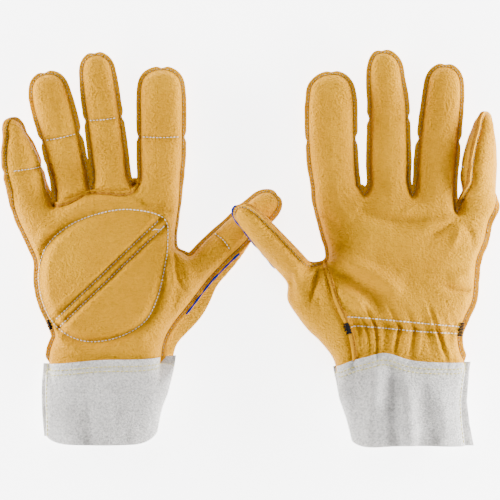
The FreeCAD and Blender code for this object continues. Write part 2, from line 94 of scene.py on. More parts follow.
# ---------------------------------------------------------------- outline tables, all in mm
# finger: profile of (distance from the root hinge, half width left, half width right), then the tip's
# distance and its offset to the right, the roll in degrees and the lift over the seam plane
FINGERS = {
    "a": {
        "little": (
            [(1, 12.2, 11.4), (11, 13.8, 11.8), (22, 13.4, 11.0), (32, 11.0, 8.4), (40, 8.0, 4.9)],
            51.2, -2.4, 36, 2.2,
        ),
        "ring": (
            [(3, 10.8, 11.4), (15, 11.4, 11.2), (30, 11.6, 11.2), (45, 12.8, 10.9), (57, 12.9, 10.2)],
            72.8, -1.6, 0, 0,
        ),
        "middle": (
            [(3, 10.6, 11.1), (15, 10.8, 11.0), (35, 10.8, 10.4), (52, 11.2, 9.7), (67, 10.9, 8.7)],
            82.0, -1.6, 0, 0,
        ),
        "index": (
            [(2, 13.4, 12.4), (14, 13.7, 13.5), (30, 13.6, 13.8), (48, 13.7, 13.8), (58, 13.6, 13.5)],
            72.3, 0.5, 0, 0,
        ),
    },
    "b": {
        "index": (
            [(2, 14.4, 13.6), (18, 15.8, 13.0), (35, 16.0, 13.4), (50, 15.4, 14.1), (59, 14.4, 14.2)],
            75.2, 1.4, 0, 0,
        ),
        "middle": (
            [(3, 12.0, 12.0), (15, 12.1, 12.6), (35, 11.0, 12.6), (55, 10.2, 12.3), (69, 10.2, 10.4)],
            87.6, -2.2, 0, 0,
        ),
        "ring": (
            [(3, 12.0, 12.2), (18, 12.2, 12.4), (35, 11.2, 12.8), (50, 10.2, 13.2), (64, 9.0, 13.0)],
            80.0, 1.9, 0, 0,
        ),
        "little": (
            [(1, 10.6, 11.8), (10, 11.6, 12.4), (22, 11.6, 12.2), (34, 9.2, 9.4), (43, 6.2, 6.2)],
            53.6, 0.0, 54, 2.6,
        ),
    },
}
# thumb: root point, heading, pitch, roll, profile, tip distance, lift
THUMBS = {
    "a": (
        (-33.5, -11.6), 47.5, 0.0, -16.0,
        [(1, 9.0, 9.6), (12, 9.6, 9.5), (25, 9.7, 9.3), (40, 9.6, 8.6), (55, 9.2, 8.2)], 68.2, 0.0,
    ),
    "b": (
        (33.7, -17.1), -42.0, 18.6, -48.0,
        [(2, 10.2, 9.8), (12, 10.3, 10.2), (25, 10.2, 10.0), (40, 9.4, 9.2), (50, 8.4, 8.2)], 63.0, 5.8,
    ),
}
# stitched outline between the fingers, going round clockwise
SIDES = {
    "a": {
        "start": [
            (-129.5, -88), (-132.6, -76), (-132.2, -68), (-130.4, -62), (-128.8, -57), (-131.2, -50),
            (-135, -42), (-138.6, -33), (-140.6, -20.5), (-140.6, -8), (-146.0, 5), (-152.6, 19),
        ],
        "little_ring": [(-131.8, 32.5), (-129.9, 27.8), (-128.2, 33)],
        "ring_middle": [(-106.9, 42.5), (-105.2, 38.2), (-103.8, 42)],
        "middle_index": [(-79.8, 44.5), (-77.0, 40.8), (-73.6, 43)],
        "index_thumb": [(-47.0, 32), (-48.6, 19), (-49.8, 8), (-49.0, 0.8), (-44.6, -2.2)],
        "end": [(-32.5, -25.5), (-42.8, -39), (-50.9, -49.2), (-56.8, -60), (-58.8, -72), (-60, -88)],
    },
    "b": {
        "start": [(58.5, -88), (55.2, -73), (46.2, -61), (38.8, -54), (31, -44), (24.8, -33.5)],
        "thumb_index": [
            (46.8, -9.6), (50.0, -8.4), (52.0, -5.2), (51.2, 1.5), (49.2, 8), (46.2, 19), (43.4, 31),
        ],
        "index_middle": [(72.4, 40), (76.0, 35.4), (79.4, 40)],
        "middle_ring": [(105.6, 39), (107.4, 34.6), (109.4, 38)],
        "ring_little": [(135.2, 30), (136.9, 23.2), (139.4, 29)],
        "end": [
            (161.6, 27), (157.4, 18), (154.8, 6), (149.8, -7), (148.4, -20), (146.8, -34),
            (141.4, -46), (137.4, -57), (138.4, -67), (141.8, -76), (141.6, -88),
        ],
    },
}
# share of the sewn edge's width that shows along a side, 1 where it isn't named
EDGE_SHARE = {
    "a": {"index_thumb": 0.6},
    "b": {"start": 0.0, "thumb_index": 0.8, "index_middle": 1.4, "end": 1.25},
}
# how far glove a's lower panel bulges out past the seam, from the thumb's tip down to the cuff
BULGE_THUMB = [0.0, 3.6, 7.4, 9.6, 11.4]
BULGE_END = [15.4, 17.6, 16.2, 13.6, 12.0, 11.6]
ORDER = {
    "a": "start little little_ring ring ring_middle middle middle_index index index_thumb thumb end",
    "b": "start thumb thumb_index index index_middle middle middle_ring ring ring_little little end",
}
PALM_LOOP = [
    (-57, 20.5), (-80, 26), (-102.5, 22.4), (-121.4, 13.8), (-134.6, 0.6), (-139.4, -16.5),
    (-136.6, -35.6), (-128, -50.6), (-113.9, -59.2), (-98.6, -60.6), (-81.8, -56), (-68.4, -46.8),
    (-60.8, -31.6), (-56.2, -12.6), (-54.2, 4.2),
]
DIAGONALS = [[(-127.9, -46.4), (-59.2, 19.6)], [(-125.6, -51.4), (-56.2, 15.2)]]
WELT = [
    (-131.4, 30.6), (-126, 29.4), (-118.8, 31.2), (-111, 35.2), (-104, 37.4), (-94, 37.2),
    (-84, 36.4), (-78.5, 37.8), (-74.6, 40.6), (-73.6, 43.6), (-75.6, 45.6), (-78, 44.6),
]
RADIAL = [
    (48.8, -7.5), (50.2, -16), (53.2, -27), (57.6, -39), (63.2, -51.5), (66.4, -62), (68.2, -74),
    (68.8, -84),
]
ELASTIC_ROWS = [
    [(63.5, -44.4), (80, -45.6), (110, -48.4), (141, -51.4)],
    [(65.5, -51.8), (70, -50.6), (84, -51.6), (112, -54.2), (140.5, -56)],
]
TACKS = {
    "a": {"ulnar": [(-133.4, -46.8), (-131.4, -53.0)]},
    "b": {"radial": [(63.2, -48.5), (65.4, -55.5)], "ulnar": [(139.8, -48.5), (138.4, -57.5)]},
}
TAIL = [(-56.6, 15.4), (-58.2, 13.4), (-60.2, 12.6), (-62.4, 13.0), (-64.2, 12.2)]
# folds of the upper side: line, height (negative runs into the leather) and width
FOLDS = {
    "a": [
        ([(-50.6, 6), (-49.2, -7), (-48.2, -16), (-45.4, -24), (-37.6, -32)], -1.9, 0.9),
        ([(-54, 4), (-52.6, -8), (-51.4, -18), (-51, -32)], 1.3, 2.6),
        ([(-52, 4), (-56, -12), (-58, -26), (-62, -40)], -0.6, 1.8),
        ([(-49.5, 2.5), (-60, -2), (-70, -9)], 0.8, 2.2),
        ([(-46.6, 1), (-43.2, -8), (-40.4, -17), (-37.4, -27)], 1.4, 2.4),
        ([(-46, -22), (-49, -34), (-54, -48)], -0.8, 2.0),
        ([(-53, -16), (-57, -30), (-60, -42)], -0.5, 1.4),
        ([(-50, -14), (-52, -26), (-55, -36)], 0.6, 1.3),
        ([(-55, 29), (-66, 28), (-77, 34)], -1.7, 2.6),
        ([(-49, 24), (-58, 25), (-67, 23)], -1.3, 2.2),
        ([(-140, 4), (-134, 12), (-128, 18)], 0.7, 3.0),
        ([(-133, -52), (-120, -62), (-104, -66)], 0.8, 3.2),
        ([(-70, -56), (-62, -60), (-58, -68)], -0.9, 2.4),
    ],
    "b": [
        ([(50, -5), (64, -8.5), (80, -15), (94, -25), (102, -40)], 3.6, 5.0),
        ([(52, -16), (66, -20), (79, -29), (87, -42)], -3.0, 5.0),
        ([(56, -26), (66, -30), (73, -37), (76, -44)], 2.2, 3.4),
        ([(152, -24), (144, -27), (133, -26), (124, -21)], -2.6, 2.4),
        ([(150, -14), (138, -18), (128, -17)], 1.6, 3.4),
        ([(67, 31), (78, 24), (92, 19), (108, 18), (124, 21)], -2.4, 4.5),
        ([(135, 21), (122, 17), (110, 15)], 1.4, 1.8),
        ([(135, 18), (124, 11), (114, 7)], -1.3, 1.8),
        ([(138, 17), (136, 8), (132, -1)], 1.5, 2.0),
        ([(141, 18), (146, 8), (147, -2)], -1.4, 2.0),
        ([(76, 35), (72, 29), (64, 25)], 0.6, 1.8),
        ([(107, 31), (103, 25), (96, 22)], 0.6, 1.6),
        ([(46, 24), (54, 18), (60, 8)], -1.4, 3.0),
        ([(50, 1), (45.4, -12), (42.6, -22), (38.4, -40)], -2.3, 2.0),
        ([(36, -2), (34, -15), (33, -25), (33, -40)], 2.2, 2.6),
        ([(48.5, -11), (48, -24), (50, -36)], 1.2, 2.4),
        ([(44, -26), (45, -36), (48, -46)], -0.8, 2.0),
        ([(30, -6), (29.4, -18), (27, -34)], -1.2, 2.0),
    ],
}


# ---------------------------------------------------------------- curves and fields
def mirror_x(points):
    """The same place on the other glove, which is the same cut turned over."""
    return [(5.0 - x, y) for x, y in points]


def smoothstep(a, b, x):
    t = np.clip((np.asarray(x, float) - a) / (b - a), 0.0, 1.0)
    return t * t * (3 - 2 * t)


def bell(x, width):
    return np.exp(-((x / width) ** 2))


def oval(x, y, wide, high):
    return np.exp(-((x / wide) ** 2) - (y / high) ** 2)


def unit(rows):
    return rows / np.maximum(np.linalg.norm(rows, axis=1), 1e-9)[:, None]


def lengths(path):
    """Distance along a path at each of its points."""
    return np.concatenate([[0], np.cumsum(np.linalg.norm(np.diff(path, axis=0), axis=1))])


def points_at(path, steps, where):
    """The path's points at distances along it; steps are the distances of its own points."""
    return np.column_stack([np.interp(where, steps, path[:, k]) for k in range(path.shape[1])])


def spline(points, step=1.2, closed=False):
    """A smooth curve through points, with equal steps; extra columns go along."""
    p = np.asarray(points, float)
    ends = (p[-1], p[:1], p[1]) if closed else (2 * p[0] - p[1], 2 * p[-1] - p[-2])
    p = np.vstack([ends[0], p, *ends[1:]])
    t = np.linspace(0, 1, 12, endpoint=False)[:, None]
    runs = []
    for a, b, c, d in zip(p, p[1:], p[2:], p[3:]):
        square, cube = 2 * a - 5 * b + 4 * c - d, 3 * b - a - 3 * c + d
        runs.append(0.5 * (2 * b + (c - a) * t + square * t**2 + cube * t**3))
    dense = np.vstack(runs + [p[-2][None]])
    steps = lengths(dense[:, :2])
    count = max(2, int(round(steps[-1] / step)))
    out = points_at(dense, steps, np.linspace(0, steps[-1], count + 1))
    return out[:-1] if closed else out


def nearest(points, path):
    """For each point: distance to the path, segment number and place along the path in mm."""
    a, b = path[:-1, :2], path[1:, :2]
    ab = b - a
    size = np.maximum((ab**2).sum(1), 1e-12)
    start = np.concatenate([[0], np.cumsum(np.sqrt(size))])[:-1]
    out = [np.empty(len(points)) for _ in range(3)]
    block = 1500  # keeps the distance tables small
    for lo in range(0, len(points), block):
        p = points[lo : lo + block, None, :2]
        t = np.clip(((p - a) * ab).sum(2) / size, 0, 1)
        gap = ((a + t[..., None] * ab - p) ** 2).sum(2)
        k = gap.argmin(1)
        rows = np.arange(len(k))
        out[0][lo : lo + block] = np.sqrt(gap[rows, k])
        out[1][lo : lo + block] = k
        out[2][lo : lo + block] = start[k] + t[rows, k] * np.sqrt(size[k])
    return out[0], out[1].astype(int), out[2]


def inside(points, polygon):
    """Even-odd test."""
    x, y = points[:, 0], points[:, 1]
    hit = np.zeros(len(points), bool)
    for (x0, y0), (x1, y1) in zip(polygon, np.roll(polygon, -1, axis=0)):
        if y0 != y1:
            hit ^= ((y0 > y) != (y1 > y)) & (x < (x1 - x0) * (y - y0) / (y1 - y0) + x0)
    return hit


def noise_at(x, y, z):
    return noise.noise(Vector((x, y, z)))


def wave(points, scale, seed):
    """Smooth noise from -1 to 1 at 2D points; scale is the size of its features in mm."""
    return np.array([noise_at(p[0] / scale, p[1] / scale, seed) for p in points])


def ripple(values, scale, y, z):
    """Smooth noise along a line."""
    return np.array([noise_at(v / scale, y, z) for v in values])


def grid_faces(rows, columns):
    """Quads between rows of points that follow each other."""
    return [
        [k * columns + i, k * columns + i + 1, (k + 1) * columns + i + 1, (k + 1) * columns + i]
        for k in range(rows - 1)
        for i in range(columns - 1)
    ]


class Finger:
    """A finger's root, direction and roll, and the outline that belongs to it."""

    def __init__(self, point, heading, base, profile, tip, shift, roll, lift, pitch=0.0):
        angle = math.radians(heading)
        self.p = np.array(point[:2], float)
        self.t = np.array([math.sin(angle), math.cos(angle)])
        self.u = np.array([math.cos(angle), -math.sin(angle)])
        self.base, self.profile, self.tip, self.shift = base, profile, tip, shift
        self.roll, self.lift, self.pitch = math.radians(roll), lift, math.radians(pitch)
        self.half = max(max(l, r) for _, l, r in profile)

    def local(self, xy):
        """Distance from the root along the finger, and to its right."""
        d = xy[:, :2] - self.p
        return d @ self.t, d @ self.u

    def at(self, s, w):
        return tuple(self.p + self.t * s + self.u * w)

    def outline(self):
        left = [self.at(s, -l) for s, l, _ in self.profile]
        right = [self.at(s, r) for s, _, r in self.profile]
        s0, l0, r0 = self.profile[-1]
        pointed = 1.3 if s0 < 46 else 0.82  # the little fingers end in a point
        top = []
        for degrees in (28, 52, 74):
            angle = math.radians(degrees)
            top.append((s0 + (self.tip - s0) * math.sin(angle) ** 0.9, math.cos(angle) ** pointed))
        rise = [self.at(s, -l0 * k + self.shift * (1 - k)) for s, k in top]
        fall = [self.at(s, r0 * k + self.shift * (1 - k)) for s, k in top]
        return left + rise + [self.at(self.tip, self.shift)] + fall[::-1] + right[::-1]

    def bend(self, xyz, flat, reach, start=-12.0, end=10.0):
        """Rolls, lifts and pitches the points near the finger; reach is the fade on the left and right."""
        s, w = self.local(flat)
        left, right = reach
        k = smoothstep(start, end, s) * (1 - smoothstep(*left, -w)) * (1 - smoothstep(*right, w))
        s, w = self.local(xyz)
        z = xyz[:, 2] - SEAM
        roll, pitch = self.roll * k, self.pitch * k
        w2 = w * np.cos(roll) + z * np.sin(roll)
        z2 = -w * np.sin(roll) + z * np.cos(roll)
        s2 = s * np.cos(pitch) - z2 * np.sin(pitch)
        z2 = s * np.sin(pitch) + z2 * np.cos(pitch)
        out = xyz.copy()
        out[:, :2] = self.p + s2[:, None] * self.t + w2[:, None] * self.u
        out[:, 2] = SEAM + z2 + self.lift * k
        out[k <= 0] = xyz[k <= 0]
        return out


class Glove:
    """One glove's outline, heights and pieces."""

    def __init__(self, key):
        self.key = key
        self.up = 1 if key == "a" else -1  # the side the palm is on
        self.fingers = {}
        for name, (profile, tip, shift, roll, lift) in FINGERS[key].items():
            root = np.array(JOINTS[f"{name}_knuckle_{key}"]["pos_m"]) / MM
            middle = np.array(JOINTS[f"{name}_middle_{key}"]["pos_m"]) / MM
            run = middle[:2] - root[:2]
            heading = math.degrees(math.atan2(run[0], run[1]))
            base = float(np.linalg.norm(run))
            self.fingers[name] = Finger(root, heading, base, profile, tip, shift, roll, lift)
        point, heading, pitch, roll, profile, tip, lift = THUMBS[key]
        self.thumb = Finger(point, heading, THUMB_BASE, profile, tip, 0.0, roll, lift, pitch)
        self.digits = [*self.fingers.values(), self.thumb]
        # columns: x, y, width of the sewn edge, bulge of the lower panel
        self.path = spline(self.control_points(), PATH_STEP)
        self.path[:, 2] *= smoothstep(-74.6, -71.6, self.path[:, 1])
        tangent = unit(np.gradient(self.path[:, :2], axis=0))
        self.normal = np.column_stack([-tangent[:, 1], tangent[:, 0]])  # outward, as it goes clockwise
        reach = 16
        blur = np.hanning(2 * reach + 1) / np.hanning(2 * reach + 1).sum()
        row = np.column_stack([self.normal, self.path[:, 3]])
        row = np.vstack([np.repeat(row[:1], reach, 0), row, np.repeat(row[-1:], reach, 0)])
        self.broad = np.column_stack([np.convolve(row[:, k], blur, "valid") for k in range(3)])
        below = [0, -50, 0, 0]
        self.long = np.vstack([self.path[0] + below, self.path, self.path[-1] + below])
        self.solve()
        self.marks = []  # (path, depth, width, side) of sewn lines and folds
        self.parts = []
        self.set_marks()

    def control_points(self):
        """The outline's corners with sewn edge width and bulge."""
        rows = []
        for name in ORDER[self.key].split():
            share = EDGE_SHARE[self.key].get(name, 1.0)
            if name in self.fingers:
                points = self.fingers[name].outline()
            else:
                points = self.thumb.outline() if name == "thumb" else SIDES[self.key][name]
            widths, bulges = [EDGE * share] * len(points), [0.0] * len(points)
            if self.key == "a" and name == "thumb":
                bulges[-5:] = BULGE_THUMB
            elif self.key == "a" and name == "end":
                bulges = BULGE_END
            elif self.key == "b" and name == "thumb":
                widths[:2] = [0.2, 1.6]
            rows += [(*p, width, bulge) for p, width, bulge in zip(points, widths, bulges)]
        return rows

    def depth(self, xy):
        """Distance inside the stitched outline, negative outside, and the nearest outline segment."""
        gap, segment, _ = nearest(xy, self.long)
        return np.where(inside(xy, self.long[:, :2]), gap, -gap), segment

    def solve(self):
        """Blows the outline up on a grid: a screened Poisson membrane, kept as height over depth."""
        lo, hi = self.long[:, :2].min(0) - 4, self.long[:, :2].max(0) + 4
        xs, ys = (np.arange(lo[k], hi[k], SOLVE_STEP) for k in (0, 1))
        gx, gy = np.meshgrid(xs, ys, indexing="ij")
        d = self.depth(np.column_stack([gx.ravel(), gy.ravel()]))[0].reshape(gx.shape)
        mask = d > 0
        phi = np.zeros(gx.shape)
        screen = (SOLVE_STEP / SPREAD) ** 2
        for _ in range(SOLVE_ROUNDS):
            total = np.zeros_like(phi)
            total[1:-1, 1:-1] = phi[2:, 1:-1] + phi[:-2, 1:-1] + phi[1:-1, 2:] + phi[1:-1, :-2]
            total[1:-1, 0] = phi[2:, 0] + phi[:-2, 0] + 2 * phi[1:-1, 1]
            phi = np.where(mask, (total + screen) / (4 + screen), 0)
        ratio = np.where(d > 1.8, phi / np.maximum(d, 0.1), np.nan)
        known = ~np.isnan(ratio)
        value, weight = np.where(known, ratio, 0.0), known.astype(float)
        for _ in range(6):  # carries the ratio out to the seam and past it
            v, w = value.copy(), weight.copy()
            for axis in (0, 1):
                for step in (1, -1):
                    v += np.roll(value, step, axis)
                    w += np.roll(weight, step, axis)
            fresh = ~known & (w > 0)
            value = np.where(fresh, v / np.maximum(w, 1e-9), value)
            weight = np.where(fresh, 1.0, weight)
            known |= fresh
            value = np.where(weight > 0, value, 0)
        for _ in range(2):
            smooth, total = value.copy(), value[1:-1, 1:-1] * 4
            total = total + value[2:, 1:-1] + value[:-2, 1:-1] + value[1:-1, 2:] + value[1:-1, :-2]
            smooth[1:-1, 1:-1] = total / 8
            value = np.where(weight > 0, smooth, value)
        self.grid = (lo, value)

    def ratio(self, xy):
        """The solved ratio at 2D points."""
        lo, value = self.grid
        f = (xy[:, :2] - lo) / SOLVE_STEP
        i = np.clip(np.floor(f).astype(int), 0, np.array(value.shape) - 2)
        tx, ty = np.clip(f - i, 0, 1).T
        ix, iy = i.T
        near = value[ix, iy] * (1 - tx) + value[ix + 1, iy] * tx
        far = value[ix, iy + 1] * (1 - tx) + value[ix + 1, iy + 1] * tx
        return near * (1 - ty) + far * ty

    def palm_line(self, points, step, closed=False):
        """A line of the palm, given on glove a and turned over for glove b."""
        return spline(points if self.up > 0 else mirror_x(points), step, closed)

    def set_marks(self):
        """Sewn lines press into the leather, folds stand out of it or run through it."""
        palm, seen = self.up, self.up > 0
        loop = self.palm_line(PALM_LOOP, 2.0, closed=True)
        self.loop = np.vstack([loop, loop[:1]])
        self.quilts = [self.palm_line(line, 2.0) for line in DIAGONALS]
        self.welt = self.palm_line(WELT, 0.8)
        self.marks.append((self.loop, -3.0 if seen else -1.2, 3.0, palm))
        self.marks += [(quilt, -2.6 if seen else -1.0, 2.0, palm) for quilt in self.quilts]
        self.marks.append((self.welt[:-12], -3.2, 2.6, palm))
        self.creases = []
        for f in self.digits:
            bow = -1.9 if f is self.thumb else 0.8
            reach = f.half + 1.5
            line = [f.at(f.base + bow, -reach), f.at(f.base, 0), f.at(f.base + bow, reach)]
            self.creases.append(spline(line, 1.5))
            self.marks.append((self.creases[-1], -2.0, 2.0, palm))
            self.marks.append((self.creases[-1], -0.5, 3.0, -palm))
        if not seen:
            self.radial = spline(RADIAL, RADIAL_STEP)
            self.marks.append((self.radial, -1.6, 2.2, 1))
        self.marks += [(spline(line, 2.0), depth, width, 1) for line, depth, width in FOLDS[self.key]]

    def surface(self, xy, side, d=None):
        """Height of the upper (side 1) or lower (-1) leather over or under the seam plane."""
        if d is None:
            d = self.depth(xy)[0]
        upper, lower = RISE[self.key]
        lift = np.sqrt(np.clip(self.ratio(xy) * d, 0, 1))
        edge = smoothstep(0.0, 5.0, d)
        if side > 0:
            h = upper * lift
        else:
            h, room = lower * lift, FLOOR_ROOM
            if self.key == "b":  # its thumb and little finger hang lower
                s, w = self.thumb.local(xy)
                room = room + 4.0 * smoothstep(-4, 12, s) * (1 - smoothstep(13, 18, w))
                s, w = self.fingers["little"].local(xy)
                near = smoothstep(-2, 12, s) * (1 - smoothstep(12, 15, -w))
                room = room + 9.0 * near
                h = h * (1 + 0.45 * near)
            h = h / (1 + (h / room) ** 4) ** 0.25
        for path, depth, width, where in self.marks:
            if where != side:
                continue
            gap, _, along = nearest(xy, path)
            total = np.linalg.norm(np.diff(path, axis=0), axis=1).sum()
            sewn = width < 3 and depth < 0 and total > 60
            part = along / total
            ends = 1.0 if sewn else smoothstep(0, 0.3, part) * smoothstep(0, 0.35, 1 - part)
            h = h + (depth * bell(gap, width) * ends) * edge * (1.0 if side > 0 else 0.35)
            if side > 0 and depth < -2.0:  # the leather swells beside a deep line
                h = h + 0.22 * abs(depth) * bell(gap - 2.1 * width, 0.9 * width) * ends * edge
        if side > 0:
            h = h + edge * 0.7 * wave(xy, 19.0, 3.1) + edge * 0.3 * wave(xy, 7.0, 7.7)
            h = h + self.gathers(xy) * edge
        return h

    def gathers(self, xy):
        """Ripples where the elastic draws the back of the wrist together, and small creases by the thumb."""
        x, y = xy[:, 0], xy[:, 1]
        if self.key == "a":
            lines = np.sin(TURN * (x + 0.25 * y) / 3.1 + 0.9 * np.sin(y / 6.0) + 0.7 * np.sin(x / 3.3))
            across = (x + 22) * 0.676 - (y + 2) * 0.737
            along = (x + 22) * 0.737 + (y + 2) * 0.676
            small = np.sin(TURN * (x * 0.95 + 0.3 * y) / 2.7 + 0.8 * np.sin(y / 4.0))
            return 0.5 * oval(x + 51, y + 24, 7.5, 17) * lines + 0.42 * oval(across, along, 7.0, 13.0) * small
        gap = y - (-46.2 - 0.085 * (x - 64)) + 3.4  # height over the rows of stitches
        over, under = np.maximum(gap, 0), np.minimum(gap, 0)
        # the folds lean towards the thumb over the rows and wander below them
        lean = over * 0.42 + 0.016 * over**2 * smoothstep(60, 110, 170 - x)
        across = x + lean + 1.5 * wave(xy, 13.0, 12.0) + 0.25 * under * np.sin(x / 9.0)
        phase = across / 7.4 + 0.35 * np.sin(across / 11.0)
        number = np.floor(phase)
        fold = 1 - 2.6 * bell(phase - number - 0.5, 0.17)
        size = 0.75 + 0.6 * np.sin(2.4 * number + 0.8)
        fine = np.sin(TURN * across / 3.1 + 0.9 * np.sin(y / 4.0))
        reach = bell(over, 7.5 + 4.5 * size) * bell(under, 16.0)
        inner = smoothstep(65, 73, x) * smoothstep(0, 8, 140 - x)
        dip = -3.4 * bell(gap, 6.0) * smoothstep(60, 68, x)
        creases = np.sin(TURN * (x + 0.3 * y) / 3.4 + 0.6 * np.sin(y / 5))
        thenar = 0.4 * oval(x - 38, y + 30, 9, 15) * creases
        return inner * reach * (1.15 * size * fold + 0.16 * fine) + dip + thenar

    def bulge_out(self, d, segment):
        """Shift of the lower panel out past the seam beside the thumb."""
        k = np.clip(segment - 1, 0, len(self.path) - 1)
        rise = np.sin(np.clip(d / 3.4, 0, 1) * math.pi / 2) * np.clip(1 - d / 44.0, 0, 1) ** 1.5
        return self.broad[k, :2] * (self.broad[k, 2] * rise)[:, None]

    def place(self, xyz, flat):
        """Rolls the little finger and lifts the thumb, and keeps everything over the floor."""
        free, close = (90.0, 99.0), (12.8, 14.6)
        if self.key == "a":
            little, thumb = (free, close), (((15, 26), (15, 26)), -6.0, 18.0)
        else:
            little, thumb = (close, free), ((free, (13.6, 22.0)), -11.0, 11.0)
        out = self.fingers["little"].bend(xyz, flat, little)
        out = self.thumb.bend(out, flat, *thumb)
        low, room = out[:, 2], FLOOR_GUARD - FLOOR_GAP
        held = FLOOR_GAP + room * np.exp((np.minimum(low, FLOOR_GUARD) - FLOOR_GUARD) / room)
        out[:, 2] = np.where(low < FLOOR_GUARD, held, low)
        return out

    def label(self, xy):
        """Which piece of the split each place belongs to."""
        names = np.full(len(xy), "hand", dtype=object)
        best = np.full(len(xy), 9.0)
        for name, f in self.fingers.items():
            s, w = f.local(xy)
            score = np.abs(w) / (f.half + 1)
            mine = (s > -3.5) & (score < best) & (score < 1.45)
            best = np.where(mine, score, best)
            names[mine] = name + "_base"
            names[mine & (s > f.base / 2)] = name + "_tip"
        s, w = self.thumb.local(xy)
        crotch = w if self.key == "b" else -w
        names[(s > THUMB_CUT) & (crotch < 15.5) & (np.abs(w) < 34) & (best > 8)] = "thumb"
        names[xy[:, 1] < SKIRT_CUT] = "skirt"
        return names

    def add(self, kind, xyz, faces, material, flat):
        """Keeps a piece of mesh; flat is where its points belong in the outline."""
        self.parts.append((kind, xyz, faces, material, flat))


# ---------------------------------------------------------------- pieces of a glove
def panels(glove):
    """Both leather sides, on one triangulation of the outline's inside."""
    path = glove.path[:, :2]
    low = np.column_stack([np.linspace(path[-1, 0], path[0, 0], 60)[1:-1], np.full(58, path[0, 1])])
    border = np.vstack([path, low])
    # rows of points along the seam, where the leather rises steeply, and a grid of triangles inside
    offsets = (0.22, 0.7, 1.4, 2.3, 3.3, 4.4, 5.6)
    rings = np.vstack([path - glove.normal * offset for offset in offsets])
    miss = np.abs(glove.depth(rings)[0] - np.repeat(offsets, len(path)))
    rings = rings[(miss < 0.12) & (rings[:, 1] > path[0, 1] + 0.3)]
    lo, hi = path.min(0), path.max(0)
    xs, ys = np.arange(lo[0], hi[0], MESH_STEP), np.arange(lo[1] + 0.8, hi[1], MESH_STEP * 0.866)
    gx, gy = np.meshgrid(xs, ys, indexing="ij")
    gx = gx + (np.arange(gy.shape[1]) % 2)[None, :] * MESH_STEP / 2
    inner = np.column_stack([gx.ravel(), gy.ravel()])
    inner = inner[glove.depth(inner)[0] > 6.4]
    count = len(border)
    points = [Vector(p) for p in np.vstack([border, rings, inner])]
    edges = [(i, (i + 1) % count) for i in range(count)]
    found = geometry.delaunay_2d_cdt(points, edges, [list(range(count))], 1, 1e-5)
    xy, faces = np.array([tuple(v) for v in found[0]]), found[2]
    d, segment = glove.depth(xy)
    d = np.maximum(d, 0)
    for side in (1, -1):
        z = LEATHER + glove.surface(xy, side, d)
        shift = glove.bulge_out(np.where(d < 0.03, 0, d), segment) if side < 0 else 0
        order = [list(f) if side > 0 else list(f)[::-1] for f in faces]
        glove.add("leather", np.column_stack([xy + shift, SEAM + side * z]), order, 0, xy)


def sewn_edge(glove):
    """The two layers of leather that stand out past the outline's stitches."""
    path, normal = glove.path, glove.normal
    n = len(path)
    length = np.arange(n) * PATH_STEP
    ragged = ripple(length, 6.0, 0.3, 1.7) + 0.6 * ripple(length, 1.9, 4.2, 0.4)
    sway = ripple(length, 21.0, 9.1, 2.2)
    width = path[:, 2] * (1 + 0.1 * ragged)
    notches = [f.at(f.tip, f.shift) for f in glove.digits]
    for f in glove.fingers.values():
        notches += [f.at(f.base + 0.8, -f.half), f.at(f.base + 0.8, f.half)]
    for spot in notches:
        gap = np.linalg.norm(path[:, :2] - np.array(spot), axis=1)
        width = width * (1 - 0.6 * bell(gap - gap.min(), 1.0))
    # between the fingers the edge is narrower, so that it doesn't cross itself
    turn = np.gradient(np.unwrap(np.arctan2(normal[:, 1], normal[:, 0]))) / PATH_STEP
    width = np.minimum(width, 0.75 / np.maximum(turn, 0.12) * 0.9 + 0.8)
    for _ in range(2):
        width[1:-1] = 0.25 * width[:-2] + 0.5 * width[1:-1] + 0.25 * width[2:]
    cover = np.clip(width / EDGE, 0, 1)
    fan = 0.25 + 0.22 * ragged
    # upper layer: reach over the width, height over the thickness, and 1 where it is free of the seam
    half = [
        (-0.35, 1.0, 0), (0.35, 1.04, 0), (0.8, 1.03, 1), (0.93, 0.98, 1), (0.99, 0.8, 1),
        (1.02, 0.5, 1), (0.95, 0.12, 1),
    ]
    profile = half + [(0.84, 0.0, 1)] + [(reach, -high, free) for reach, high, free in half[::-1]]
    rows = []
    for reach, high, free in profile:
        size = width if free else np.minimum(1, width / EDGE + 0.2)
        out = np.where(width > 0.05, reach * size, 0)
        z = SEAM + LEATHER * high + free * np.sign(high) * fan * cover + free * 0.5 * sway
        rows.append(np.column_stack([path[:, :2] + normal * out[:, None], z]))
    shown = np.maximum(width[:-1], width[1:]) >= 0.12
    keep = np.tile(shown, len(rows) - 1)
    faces = [face for face, kept in zip(grid_faces(len(rows), n), keep) if kept]
    raw = np.repeat([int(3 <= k <= 10) for k in range(len(rows) - 1)], n - 1)
    glove.add("leather", np.vstack(rows), faces, raw[keep], np.vstack([path[:, :2]] * len(rows)))


def tube(path, radius, sides):
    """A closed tube along a 3D path, with radius a number or one per point."""
    n = len(path)
    radius = np.broadcast_to(radius, n)[:, None]
    tangent = unit(np.gradient(path, axis=0))
    side = unit(np.cross(tangent, [0, 0, 1.0]))
    top = np.cross(side, tangent)
    angles = [TURN * k / sides for k in range(sides)]
    rings = [path + (math.cos(a) * side + math.sin(a) * top) * radius for a in angles]
    faces = []
    for i in range(n - 1):
        for k in range(sides):
            j = (k + 1) % sides
            faces.append([i * sides + k, i * sides + j, (i + 1) * sides + j, (i + 1) * sides + k])
    faces.append(list(range(sides))[::-1])
    faces.append([(n - 1) * sides + k for k in range(sides)])
    return np.stack(rings, 1).reshape(-1, 3), faces


def add_tube(glove, kind, line, radius, sides, flat, material=0):
    """A tube as a piece of the glove; flat has one place for all of it or one per point."""
    verts, faces = tube(line, radius, sides)
    glove.add(kind, verts, faces, material, np.repeat(flat, len(verts) // len(flat), 0))


